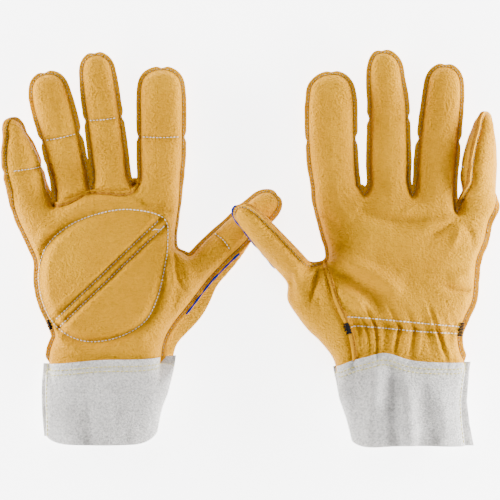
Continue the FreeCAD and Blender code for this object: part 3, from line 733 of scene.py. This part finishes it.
def stitches(glove, path, height, kind="thread", pitch=STITCH, long=1.5, radius=0.33):
    """Short dashes of thread along a 2D path; height gives z for 2D points."""
    fine = spline(path, 0.3) if len(path) > 2 else path
    steps = lengths(fine)
    starts = np.arange(0.4, steps[-1] - long, pitch)
    where = starts[:, None] + np.array([0, 0.22, 0.5, 0.78, 1.0])[None] * long
    xy = points_at(fine, steps, where.ravel())
    z = height(xy).reshape(where.shape)
    swell = np.array([0.55, 1.0, 1.1, 1.0, 0.55]) * radius
    arch = np.array([-0.22, 0.12, 0.22, 0.12, -0.22])
    for spots, high in zip(xy.reshape(*where.shape, 2), z):
        line = np.column_stack([spots, high + (arch if high.mean() > SEAM else -arch)])
        add_tube(glove, kind, line, swell, 5, spots[2:3])


def thread_lines(glove):
    """All the rows of stitches in the leather."""
    palm = glove.up

    def in_edge(side):
        return lambda p: np.full(len(p), SEAM + side * (LEATHER + 0.2))

    def on(side):
        return lambda p: SEAM + side * (LEATHER + 0.12 + glove.surface(p, side))

    seam = glove.path[:, :2] + glove.normal * 0.75
    visible = (glove.path[:, 2] > 1.5).astype(int)
    runs = np.flatnonzero(np.diff(np.concatenate([[0], visible, [0]])))
    for side in (1, -1):
        for start, end in zip(runs[::2], runs[1::2]):
            stitches(glove, seam[start:end], in_edge(side), "seam_thread", long=1.4, radius=0.26)
    for line in (glove.loop, *glove.quilts):
        stitches(glove, line, on(palm))
    for line in glove.creases:
        line = line[glove.depth(line)[0] > 0.6]
        if len(line) > 4:
            stitches(glove, line, on(palm), pitch=2.2, long=1.45)
    if palm < 0:
        for row in ELASTIC_ROWS:
            stitches(glove, spline(row, 1.5), on(1), pitch=2.3, long=1.6, radius=0.38)


def standing_seam(glove):
    """The raised seam between the back panel and the thumb's panel."""
    path = glove.radial
    n = len(path)
    z = SEAM + LEATHER + glove.surface(path, 1)
    tangent = unit(np.gradient(path, axis=0))
    out = np.column_stack([tangent[:, 1], -tangent[:, 0]])
    length = np.arange(n) * RADIAL_STEP
    ragged = ripple(length, 5.0, 3.3, 1.1) + 0.5 * ripple(length, 1.7, 0.2, 5.4)
    lean = np.interp(np.linspace(0, 1, n), [0, 0.2, 0.7, 1], [0.5, 0.75, 0.7, 0.4])
    high = EDGE * (1.05 + 0.12 * ragged) * (0.25 + 0.75 * smoothstep(-77, -70, path[:, 1]))
    # one layer from its foot to the cut edge: offset over the thickness, height over the seam's own
    half = [(1.2, -1.2), (1.15, 0.5), (1.05, 0.93), (0.6, 1.0), (0.12, 0.96)]
    rows = []
    for across, up in half + [(0.0, 0.82)] + [(-across, up) for across, up in half[::-1]]:
        stand = max(up, 0.0) * high
        offset = across * LEATHER + lean * stand
        lift = stand + min(up, 0.0)
        rows.append(np.column_stack([path - out * offset[:, None], z + lift * np.sqrt(1 - 0.5 * lean**2)]))
    faces = [face[:1] + face[:0:-1] for face in grid_faces(len(rows), n)]
    raw = np.repeat([int(3 <= k <= 6) for k in range(len(rows) - 1)], n - 1)
    glove.add("leather", np.vstack(rows), faces, raw, np.vstack([path] * len(rows)))


def root_welt(glove):
    """The rolled seam under the ring and middle fingers, with its curled end."""
    path, side = glove.welt, glove.up
    number = np.arange(len(path))
    high = LEATHER + glove.surface(path, side)
    high = np.where(number > len(path) - 10, np.maximum(high, 5.0), high)
    swell = 1.0 + 0.12 * np.sin(number * 0.9)
    for shift, radius, material, lift in ((0.9, 1.15, 1, 0.75), (-0.75, 1.0, 0, 0.6), (2.3, 0.55, 1, 0.1)):
        line = np.column_stack([path[:, 0], path[:, 1] - shift, SEAM + side * (high + lift)])
        add_tube(glove, "leather", line, radius * swell, 8, path, material)


def bar_tacks(glove):
    """Dense black thread bars at the ends of the elastic."""
    count = 9
    for name, points in TACKS[glove.key].items():
        start, end = np.array(points, float)
        run = end - start
        across = np.array([-run[1], run[0]])
        across /= np.linalg.norm(across)
        for k in range(count):
            centre = start + run * (k + 0.5) / count
            bar = np.outer((-1.5, -0.6, 0.6, 1.5), across)
            top = (SEAM + LEATHER + glove.surface(centre + bar, 1)).max()
            z = top + np.array([-0.6, 0.7, 0.7, -0.6]) + (2.0 if name == "radial" else 0.3)
            wobble = 0.5 * math.sin(k * 2.3)
            grow = (0.5 if glove.key == "a" else 1.0) * (1 + 0.22 * math.sin(k * 4.1))
            line = np.column_stack([centre + bar * grow + across * wobble, z])
            add_tube(glove, "black", line, 0.44, 6, start[None])


def blue_edge(glove):
    """The thin blue binding that shows along the thumb's outer seam."""
    s, w = glove.thumb.local(glove.path)
    if glove.key == "a":
        near = (w > 0) & (w < 20) & (s > -29) & (s < 26)
    else:
        near = (w < 0) & (w > -13) & (s > 12) & (s < glove.thumb.tip + 1)
    flat, number = glove.path[near, :2], np.arange(near.sum())
    wobble = 0.5 + 0.5 * np.sin(number * 0.55) * np.sin(number * 0.21 + 1)
    line = np.column_stack([flat + glove.normal[near] * (EDGE + 0.15), SEAM + 0.9 + 0.3 * wobble])
    add_tube(glove, "blue", line, 0.42 + 0.5 * wobble, 6, flat)


def loose_tail(glove):
    """The cut end of thread at the palm's stitching."""
    line = spline(TAIL, 0.5)
    z = SEAM + LEATHER + glove.surface(line, 1) + 0.35 + 0.3 * np.sin(np.arange(len(line)) * 0.5)
    add_tube(glove, "thread", np.column_stack([line, z]), 0.25, 5, line[:1])


# ---------------------------------------------------------------- the cuff
# rows from the cuff's sewn end to its open end: y, centre x, half width, lowest and highest z
CUFFS = {
    "a": [
        (-73.0, -92.2, 43.2, 1.2, 27.4), (-84, -92.9, 42.2, 0.8, 28.0), (-100, -94.6, 40.4, 0.6, 28.6),
        (-115, -96.6, 38.0, 0.5, 28.0), (-128.4, -97.6, 36.6, 0.5, 27.4),
    ],
    "b": [
        (-73.4, 99.6, 44.6, 1.0, 27.0), (-84, 98.9, 42.4, 0.7, 28.2), (-100, 99.0, 40.2, 0.6, 29.4),
        (-115, 101.4, 38.6, 0.5, 29.0), (-130.4, 104.6, 37.4, 0.5, 28.0),
    ],
}
# folds along the cuff's upper side: height, x at y = -90, slant and width
CUFF_FOLDS = {
    "a": [],
    "b": [(2.4, 82, 0.1, 6.0), (-3.0, 93, -0.05, 5.5), (1.6, 103, -0.1, 6.0), (-1.2, 68, 0, 5.0)],
}
CUFF_MIDDLE = 14.0  # height between its upper and lower side
SUEDE = 1.5  # its thickness


def cuff_y(key, v, x, z, y):
    """The cuff's two rims aren't straight: y at a place on the tube."""
    deep = CUFF_MIDDLE - z
    if key == "a":
        top = 0.055 * (x + 92) + 0.5 * math.sin(x / 9.0) - 0.05 * max(0.0, deep)
        u = (x + 97.6) / 36.6
        low = 0.9 * math.sin((x + 60) / 24.0) + (8.0 if u > 0 else 5.0) * min(abs(u), 1.1) ** 7 - 0.04 * deep
    else:
        hump = 5.2 * bell(x - 88, 12.5) + 1.4 * bell(x - 66, 9.0)
        drop = -4.6 * smoothstep(0, 22, 76 - x) - 1.4 * smoothstep(0, 40, x - 96)
        top = (hump if z > 9 else 0.3 * hump) + drop
        u = (x - 104.6) / 37.4
        low = 0.9 * math.sin((x - 84) / 17.0) + (1.0 if u > 0 else 4.5) * min(abs(u), 1.1) ** 8 - 0.03 * deep
    return y + top * (1 - v) ** 2 + low * v**2


def cuff_point(glove, v, angle, inset):
    """A point of the cuff's tube; v runs from its sewn end to its open end."""
    rows = np.array(CUFFS[glove.key])
    at = v * (len(rows) - 1)
    y, cx, half, low, high = (np.interp(at, np.arange(len(rows)), rows[:, k]) for k in range(5))
    c, s = math.cos(angle), math.sin(angle)
    half, high, low = half - inset, high - inset, low + inset
    x = cx + half * math.copysign(abs(c) ** 0.88, c)
    z = (high + low) / 2 + (high - low) / 2 * math.copysign(abs(s) ** 0.8, s)
    if s > 0:
        soft = 2.4 * noise_at(x / 15.0, y / 34.0, 2.0 + glove.up) + 0.8 * noise_at(x / 6.0, y / 12.0, 8.0)
        z += s * soft * (0.4 + v)
        for height, place, slant, width in CUFF_FOLDS[glove.key]:
            z += s * height * bell(x - place - slant * (y + 90), width)
    return np.array([x, cuff_y(glove.key, v, x, z, y), z])


def cuff(glove):
    """The suede tube with a turned-in thickness, its rows of yellow thread and its side seam."""
    rounds, rings = 150, 46
    angles = [TURN * k / rounds for k in range(rounds)]
    outer, inner = (
        np.array([[cuff_point(glove, v, angle, inset) for angle in angles] for v in np.linspace(0, 1, rings)])
        for inset in (0.0, SUEDE)
    )
    hug_cuff(glove, outer, inner)
    fuzz = wave(outer.reshape(-1, 3), 2.2, 5.5).reshape(rings, rounds) * 0.16
    outer[1:-1, :, 2] += fuzz[1:-1] * np.sign(outer[1:-1, :, 2] - CUFF_MIDDLE)
    faces = []
    shift = rings * rounds
    for i in range(rings - 1):
        for k in range(rounds):
            j = (k + 1) % rounds
            a, b, c, d = i * rounds + k, i * rounds + j, (i + 1) * rounds + j, (i + 1) * rounds + k
            faces += [[a, d, c, b], [shift + a, shift + b, shift + c, shift + d]]
    for k in range(rounds):
        j = (k + 1) % rounds
        a, b = (rings - 1) * rounds + k, (rings - 1) * rounds + j
        faces += [[k, j, shift + j, shift + k], [a, shift + a, shift + b, b]]
    tube_mesh = (np.vstack([outer.reshape(-1, 3), inner.reshape(-1, 3)]), faces)
    yellow = []
    for distance in (4.6, 7.6):
        lines = [outer[:, k % rounds] for k in range(rounds + 1)]
        yellow += dashes(np.vstack([points_at(line, lengths(line), [distance]) for line in lines]), 2.9, 2.2)
    turn = -glove.up  # the seam is on glove a's left and on glove b's right
    column = 0 if turn > 0 else rounds // 2
    yellow += dashes(outer[:, (column + 6 * turn) % rounds] + [0, 0, 0.1], 2.7, 2.0)
    return {"suede": [tube_mesh, *side_seam(outer[:, column], turn, glove.key)], "yellow": yellow}


def hug_cuff(glove, *grids):
    """Presses the cuff's sewn end onto the leather that it is sewn over."""
    for number, grid in enumerate(grids):
        gap = 1.5 - 1.25 * number
        for i, row in enumerate(grid):
            k = float(1 - smoothstep(0.0, 0.42, i / (len(grid) - 1)))
            if k <= 0:
                continue
            xy = row[:, :2]
            d = np.maximum(glove.depth(xy)[0], 0)
            for side in (1, -1):
                here = (row[:, 2] - 13.5) * side > 0
                z = np.maximum(SEAM + side * (LEATHER + gap + glove.surface(xy, side, d)), 0.4 + number)
                row[:, 2] = np.where(here, row[:, 2] * (1 - k) + z * k, row[:, 2])


def dashes(path, pitch, long):
    """Stitches on the cuff, along a 3D path."""
    steps = lengths(path)
    out = []
    for start in np.arange(0.5, steps[-1] - long, pitch):
        line = points_at(path, steps, start + np.array([0, 0.25, 0.5, 0.75, 1.0]) * long)
        sign = np.sign(line[2, 2] - CUFF_MIDDLE)
        line[:, 2] += sign * (0.12 + np.array([-0.25, 0.1, 0.18, 0.1, -0.25]))
        out.append(tube(line, np.array([0.16, 0.3, 0.34, 0.3, 0.16]), 5))
    return out


def side_seam(edge, turn, key):
    """The two layers of suede that stand out along the cuff's side."""
    n = len(edge)
    v = np.linspace(0, 1, n)
    wide = (2.2 + 3.6 * v) if key == "b" else (1.6 + 1.0 * np.sin(v * 3.1))
    profile = ((-1.2, 0.6), (0.5, 0.62), (0.96, 0.5), (1.0, 0.0), (0.96, -0.5), (0.5, -0.62), (-1.2, -0.6))
    out = []
    for layer, share in ((1, 1.0), (-1, 0.82)):
        wavy = 0.5 * np.array([noise_at(t * 7.0, layer, 3.0) for t in v])
        rows = []
        for across, thick in profile:
            x = edge[:, 0] + turn * across * (wide * share if across > 0 else 1)
            z = edge[:, 2] - 2.0 + layer * 0.85 + thick + wavy * max(across, 0) * 1.6
            rows.append(np.column_stack([x, edge[:, 1], z]))
        count = len(rows)
        faces = [face if turn > 0 else face[::-1] for face in grid_faces(count, n)]
        faces += [[k * n for k in range(count)], [k * n + n - 1 for k in range(count)][::-1]]
        out.append((np.vstack(rows), faces))
    return out


# ---------------------------------------------------------------- materials
def new_material(name):
    material = bpy.data.materials.new(name)
    material.use_nodes = True
    tree = material.node_tree
    return material, tree, tree.nodes["Principled BSDF"]


def set_inputs(node, values):
    for name, value in values.items():
        node.inputs[name].default_value = value


def add_node(tree, kind, **values):
    node = tree.nodes.new(kind)
    for key, value in values.items():
        if key in node.inputs:
            node.inputs[key].default_value = value
        else:
            setattr(node, key, value)
    return node


def rest_place(tree):
    return add_node(tree, "ShaderNodeAttribute", attribute_name="rest_place").outputs["Vector"]


def texture(tree, place, kind, scale, stretch=None, **values):
    node = add_node(tree, "ShaderNodeTex" + kind, Scale=scale, **values)
    if stretch:
        mapping = add_node(tree, "ShaderNodeMapping", Scale=stretch)
        tree.links.new(place, mapping.inputs["Vector"])
        place = mapping.outputs["Vector"]
    tree.links.new(place, node.inputs["Vector"])
    return node.outputs["Distance" if kind == "Voronoi" else "Fac"]


def ramp(tree, source, stops):
    """Colours along a value; a single number stands for a grey."""
    node = add_node(tree, "ShaderNodeValToRGB")
    elements = node.color_ramp.elements
    while len(elements) < len(stops):
        elements.new(0.5)
    for element, (position, colour) in zip(elements, stops):
        element.position = position
        element.color = (*colour, 1) if isinstance(colour, tuple) else (colour, colour, colour, 1)
    tree.links.new(source, node.inputs["Fac"])
    return node.outputs["Color"]


def blend_colour(tree, kind, amount, a, b):
    node = add_node(tree, "ShaderNodeMix", data_type="RGBA", blend_type=kind)
    for value, socket in zip((amount, a, b), [s for s in node.inputs if s.enabled]):
        if isinstance(value, bpy.types.NodeSocket):
            tree.links.new(value, socket)
        else:
            socket.default_value = (*value, 1) if isinstance(value, tuple) else value
    return [s for s in node.outputs if s.enabled][0]


def add_bump(tree, shader, layers):
    """layers: (height socket, strength, distance in metres)."""
    last = None
    for height, strength, distance in layers:
        node = add_node(tree, "ShaderNodeBump", Strength=strength, Distance=distance)
        tree.links.new(height, node.inputs["Height"])
        if last is not None:
            tree.links.new(last, node.inputs["Normal"])
        last = node.outputs["Normal"]
    tree.links.new(last, shader.inputs["Normal"])


def leather_material():
    material, tree, shader = new_material("grain_leather")
    place = rest_place(tree)
    broad = texture(tree, place, "Noise", 22.0, Detail=3.0, Roughness=0.55)
    grain = texture(tree, place, "Voronoi", 720.0)
    mottle = texture(tree, place, "Noise", 420.0, Detail=4.0, Roughness=0.7)
    lines = texture(tree, place, "Noise", 400.0, (1.0, 2.2, 1.0), Detail=4.0, Roughness=0.6, Distortion=0.3)
    golds = [(0.3, (0.54, 0.24, 0.0)), (0.55, (0.61, 0.28, 0.0)), (0.78, (0.67, 0.32, 0.0))]
    pores = [(0.0, 1.05), (0.55, 1.0), (0.95, (0.86, 0.84, 0.8))]
    tones = [(0.32, (0.9, 0.88, 0.84)), (0.6, 1.0), (0.8, (1.06, 1.06, 1.05))]
    wrinkles = [(0.36, (0.78, 0.74, 0.66)), (0.48, 1.0), (0.64, (1.08, 1.08, 1.06))]
    colour = ramp(tree, broad, golds)
    for amount, source, stops in ((0.55, grain, pores), (0.4, mottle, tones), (0.42, lines, wrinkles)):
        colour = blend_colour(tree, "MULTIPLY", amount, colour, ramp(tree, source, stops))
    # the painted shading value mixes painted shade into the leather over 0 and painted light under 0
    painted_shading_fac = add_node(tree, "ShaderNodeAttribute", attribute_name="crease").outputs["Fac"]
    # painted shade: dark brown in the seam's corner and along deep sewn lines
    colour = blend_colour(tree, "MIX", painted_shading_fac, colour, (0.22, 0.085, 0.008))
    # painted light: the sewn edge past the seam is mixed toward pale gold to lift it out of its shade
    pale = add_node(tree, "ShaderNodeMath", operation="MULTIPLY")
    pale.inputs[1].default_value = -1.0
    tree.links.new(painted_shading_fac, pale.inputs[0])
    colour = blend_colour(tree, "MIX", pale.outputs[0], colour, (1.0, 0.5, 0.01))
    tree.links.new(colour, shader.inputs["Base Color"])
    tree.links.new(ramp(tree, mottle, [(0.3, 0.56), (0.75, 0.42)]), shader.inputs["Roughness"])
    tint = (1.0, 0.58, 0.02, 1)
    set_inputs(shader, {"Specular IOR Level": 0.14, "IOR": 1.35, "Specular Tint": tint})
    add_bump(tree, shader, [(grain, 0.8, 0.0008), (lines, 0.95, 0.0015), (broad, 0.2, 0.002)])
    return material


def raw_edge_material():
    material, tree, shader = new_material("raw_leather_edge")
    fibre = texture(tree, rest_place(tree), "Noise", 900.0, Detail=5.0, Roughness=0.7)
    browns = [
        (0.3, (0.1, 0.034, 0.0)), (0.45, (0.28, 0.105, 0.002)), (0.6, (0.44, 0.19, 0.004)),
        (0.78, (0.6, 0.34, 0.04)),
    ]
    tree.links.new(ramp(tree, fibre, browns), shader.inputs["Base Color"])
    set_inputs(shader, {"Roughness": 0.9, "Specular IOR Level": 0.12})
    add_bump(tree, shader, [(fibre, 0.8, 0.0006)])
    return material


def suede_material():
    material, tree, shader = new_material("pale_suede")
    place = rest_place(tree)
    patch = texture(tree, place, "Noise", 60.0, Detail=4.0, Roughness=0.6)
    nap = texture(tree, place, "Noise", 760.0, Detail=4.0, Roughness=0.8)
    greys = [(0.3, (0.52, 0.5, 0.475)), (0.55, (0.6, 0.58, 0.555)), (0.75, (0.68, 0.66, 0.64))]
    speck = ramp(tree, nap, [(0.36, (0.34, 0.33, 0.32)), (0.5, 1.0), (0.64, 1.5)])
    colour = blend_colour(tree, "MULTIPLY", 0.7, ramp(tree, patch, greys), speck)
    tree.links.new(colour, shader.inputs["Base Color"])
    set_inputs(shader, {"Roughness": 0.95, "Specular IOR Level": 0.15})
    set_inputs(shader, {"Sheen Weight": 0.35, "Sheen Roughness": 0.6})
    add_bump(tree, shader, [(nap, 0.9, 0.0016), (patch, 0.25, 0.002)])
    return material


def thread_material(name, dark, light, dull=False):
    material, tree, shader = new_material(name)
    twist = texture(tree, rest_place(tree), "Noise", 2600.0, Detail=2.0)
    tree.links.new(ramp(tree, twist, [(0.35, dark), (0.65, light)]), shader.inputs["Base Color"])
    rough, sheen, specular = (0.9, 0.0, 0.1) if dull else (0.7, 0.3, 0.4)
    set_inputs(shader, {"Roughness": rough, "Sheen Weight": sheen, "Specular IOR Level": specular})
    add_bump(tree, shader, [(twist, 0.5, 0.0002)])
    return material


MATERIALS = {
    "leather": [leather_material(), raw_edge_material()],
    "suede": [suede_material()],
    "thread": [thread_material("pale_thread", (0.54, 0.5, 0.42), (0.82, 0.78, 0.69))],
    "seam_thread": [thread_material("seam_thread", (0.24, 0.17, 0.07), (0.5, 0.4, 0.24))],
    "yellow": [thread_material("yellow_thread", (0.5, 0.43, 0.05), (0.72, 0.64, 0.14))],
    "black": [thread_material("black_thread", (0.002, 0.002, 0.003), (0.012, 0.012, 0.013), True)],
    "blue": [thread_material("blue_binding", (0.0, 0.006, 0.13), (0.004, 0.02, 0.26), True)],
}


# ---------------------------------------------------------------- objects
def make_object(name, xyz, faces, kind, material=None, normals=None, rest=None, crease=None):
    """A Blender mesh from millimetre points, with its place at rest kept for the textures."""
    mesh = bpy.data.meshes.new(name)
    mesh.from_pydata((xyz * MM).tolist(), [], [list(map(int, f)) for f in faces])
    for m in MATERIALS[kind]:
        mesh.materials.append(m)
    if material is not None:
        mesh.polygons.foreach_set("material_index", np.asarray(material, np.int32))
    mesh.polygons.foreach_set("use_smooth", np.ones(len(mesh.polygons), bool))
    attribute = mesh.attributes.new("rest_place", "FLOAT_VECTOR", "POINT")
    places = (rest if rest is not None else xyz) * MM
    attribute.data.foreach_set("vector", places.astype(np.float32).ravel())
    if crease is not None:
        attribute = mesh.attributes.new("crease", "FLOAT", "POINT")
        attribute.data.foreach_set("value", np.asarray(crease, np.float32))
    mesh.update()
    if normals is not None:
        mesh.normals_split_custom_set_from_vertices(normals.tolist())
    obj = bpy.data.objects.new(name, mesh)
    bpy.context.scene.collection.objects.link(obj)
    return obj


def vertex_normals(xyz, faces):
    """Area-weighted normals."""
    total = np.zeros_like(xyz)
    for size in sorted({len(f) for f in faces}):
        rows = np.array([f for f in faces if len(f) == size])
        area = np.zeros((len(rows), 3))
        for k in range(1, size - 1):
            first = xyz[rows[:, 0]]
            area += np.cross(xyz[rows[:, k]] - first, xyz[rows[:, k + 1]] - first)
        for k in range(size):
            np.add.at(total, rows[:, k], area)
    return total / np.maximum(np.linalg.norm(total, axis=1), 1e-12)[:, None]


def merge(pieces):
    """One mesh from several (points, faces)."""
    faces, start = [], 0
    for xyz, own in pieces:
        faces += [[i + start for i in f] for f in own]
        start += len(xyz)
    return np.vstack([xyz for xyz, _ in pieces]), faces


def gather_kind(glove, kind):
    """All the mesh of one kind: points, places in the outline, faces, and material and label per face."""
    parts = [part[1:] for part in glove.parts if part[0] == kind]
    material, labels = [], []
    for _, own, index, flat in parts:
        names = glove.label(flat[[f[0] for f in own]])
        if len(set(names)) > 1:
            names = glove.label(np.array([flat[f].mean(0) for f in own]))
        material.append(np.full(len(own), index))
        labels.append(names)
    xyz, faces = merge([(xyz, own) for xyz, own, _, _ in parts])
    flat = np.vstack([part[3] for part in parts])
    return xyz, flat, faces, np.concatenate(material), np.concatenate(labels)


def crease_shade(glove, flat, xyz):
    """Painted shading: over 0 how much painted shade darkens sewn lines and the seam's corner, under 0 how
    much painted light makes the edge past the seam paler.
    """
    out = glove.depth(xyz)[0]
    corner = bell(np.maximum(glove.depth(flat)[0] - 0.2, 0), 1.1) * smoothstep(-0.8, -0.1, out)
    # painted shade in the seam's corner, minus painted light on the sewn edge past the seam
    shade = 0.14 * corner - 0.36 * smoothstep(0.15, 0.8, -out)
    # painted shade along the deep sewn lines and folds
    for path, depth, _, where in glove.marks:
        if depth <= -1.1:
            side = np.sign(xyz[:, 2] - SEAM) == where
            line = 0.26 * bell(nearest(flat, path)[0], 0.9) * side
            shade = np.where(out > -0.1, np.maximum(shade, line), shade)
    return shade


def body_for(glove, label):
    """The body a piece rides, or the two bodies it lies between, with start and end points."""
    key, z = glove.key, SEAM * MM
    hand = f"hand_{key}"
    if label == "hand":
        return hand
    if label == "skirt":
        x, y, _ = JOINTS[f"wrist_{key}"]["pos_m"]
        return hand, f"cuff_{key}", (x, (SKIRT_CUT - 0.5) * MM, z), (x, y - 0.0075, z)
    if label == "thumb":
        f, start, end = glove.thumb, THUMB_CUT, 15
        pair = hand, f"thumb_{key}"
    else:
        name, part = label.rsplit("_", 1)
        f = glove.fingers[name]
        if part == "base":
            start, end = -2.5, min(15.0, f.base / 2)
            pair = hand, f"{name}_base_{key}"
        else:
            start, end = max(f.base / 2, f.base - 8), f.base + 8
            pair = f"{name}_base_{key}", f"{name}_tip_{key}"
    (x0, y0), (x1, y1) = f.at(start, 0), f.at(end, 0)
    return *pair, (x0 * MM, y0 * MM, z), (x1 * MM, y1 * MM, z)


def attach(obj, where):
    if isinstance(where, str):
        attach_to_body(obj, where)
    else:
        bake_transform(obj)


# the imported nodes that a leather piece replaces; the other pieces have a front and a back
HAND_NODES = "palm_panel back_panel thumb_gusset palm_pad_upper palm_pad_lower wrist_elastic root_welt"


def stands_for(glove, label):
    names = HAND_NODES.split() if label == "hand" else [label + "_front", label + "_back"]
    return [f"glove_{glove.key}_{name}" for name in names]


def build_glove(key):
    glove = Glove(key)
    panels(glove)
    sewn_edge(glove)
    thread_lines(glove)
    blue_edge(glove)
    root_welt(glove)
    if key == "a":
        loose_tail(glove)
    else:
        standing_seam(glove)
    bar_tacks(glove)
    for kind in ("leather", "thread", "seam_thread", "black", "blue"):
        xyz, flat, faces, material, labels = gather_kind(glove, kind)
        placed = glove.place(xyz, flat)
        normals = vertex_normals(placed, faces)
        shade = crease_shade(glove, flat, xyz) if kind == "leather" else None
        for label in sorted(set(labels)):
            chosen = np.flatnonzero(labels == label)
            used = np.unique(np.concatenate([faces[i] for i in chosen]))
            number = {int(v): i for i, v in enumerate(used)}
            own = [[number[v] for v in faces[i]] for i in chosen]
            crease = None if shade is None else shade[used]
            details = (material[chosen], normals[used], xyz[used], crease)
            obj = make_object(f"glove_{key}_{label}_{kind}", placed[used], own, kind, *details)
            attach(obj, body_for(glove, label))
            if kind == "leather":
                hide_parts(*stands_for(glove, label))
            if kind == "blue" and label == "thumb":
                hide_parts(f"glove_{key}_thumb_piping")
            if kind == "black":
                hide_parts(f"glove_{key}_bar_tacks")
    for kind, pieces in cuff(glove).items():
        xyz, faces = merge(pieces)
        obj = make_object(f"glove_{key}_cuff_{kind}", xyz, faces, kind)
        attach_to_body(obj, f"cuff_{key}")
        if kind == "suede":
            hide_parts(f"glove_{key}_cuff")


for key in ("a", "b"):
    build_glove(key)


# ---------------------------------------------------------------- floor, light and camera
def area_light(name, place, aim, size, power):
    light = bpy.data.lights.new(name, "AREA")
    light.shape, light.energy = "RECTANGLE", power
    light.size, light.size_y = size
    obj = bpy.data.objects.new(name, light)
    obj.location = place
    obj.rotation_euler = (Vector(aim) - Vector(place)).to_track_quat("-Z", "Y").to_euler()
    bpy.context.scene.collection.objects.link(obj)


def stage():
    mesh = bpy.data.meshes.new("floor")
    size = 4.0
    corners = [(-size, -size, 0), (size, -size, 0), (size, size, 0), (-size, size, 0)]
    mesh.from_pydata(corners, [], [(0, 1, 2, 3)])
    floor = bpy.data.objects.new("floor", mesh)
    material, _, shader = new_material("pale_floor")
    set_inputs(shader, {"Base Color": (0.93, 0.93, 0.93, 1), "Roughness": 0.9})
    set_inputs(shader, {"Emission Color": (1, 1, 1, 1), "Emission Strength": 5.2})
    mesh.materials.append(material)
    bpy.context.scene.collection.objects.link(floor)
    floor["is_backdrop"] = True
    world = bpy.data.worlds.new("studio")
    bpy.context.scene.world = world
    world.use_nodes = True
    set_inputs(world.node_tree.nodes["Background"], {"Color": (1, 1, 1, 1), "Strength": 0.1})
    area_light("left", (-0.8, 0.06, 0.15), (0, 0, 0.02), (0.8, 0.22), 25.0)
    area_light("right", (0.8, 0.1, 0.15), (0, 0, 0.02), (0.8, 0.22), 27.0)
    area_light("top", (-0.15, 0.75, 0.85), (0, 0, 0), (0.5, 0.5), 8.5)
    area_light("front", (0.4, -0.75, 0.26), (-0.02, 0, 0.02), (0.5, 0.3), 13.0)


def camera():
    data = bpy.data.cameras.new("camera")
    data.lens, data.sensor_width = 200.0, 36.0
    data.clip_start, data.clip_end = 0.05, 20
    obj = bpy.data.objects.new("camera", data)
    distance = 0.33 / (data.sensor_width / data.lens)  # 0.33 m across the picture
    obj.location = (0, -0.0006, distance + 0.014)
    bpy.context.scene.collection.objects.link(obj)
    bpy.context.scene.camera = obj


stage()
camera()


def plain(value):
    return [plain(v) for v in value] if hasattr(value, "__len__") else float(value)


{"cad": plain(cad_bounds), "visual": plain(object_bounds())}
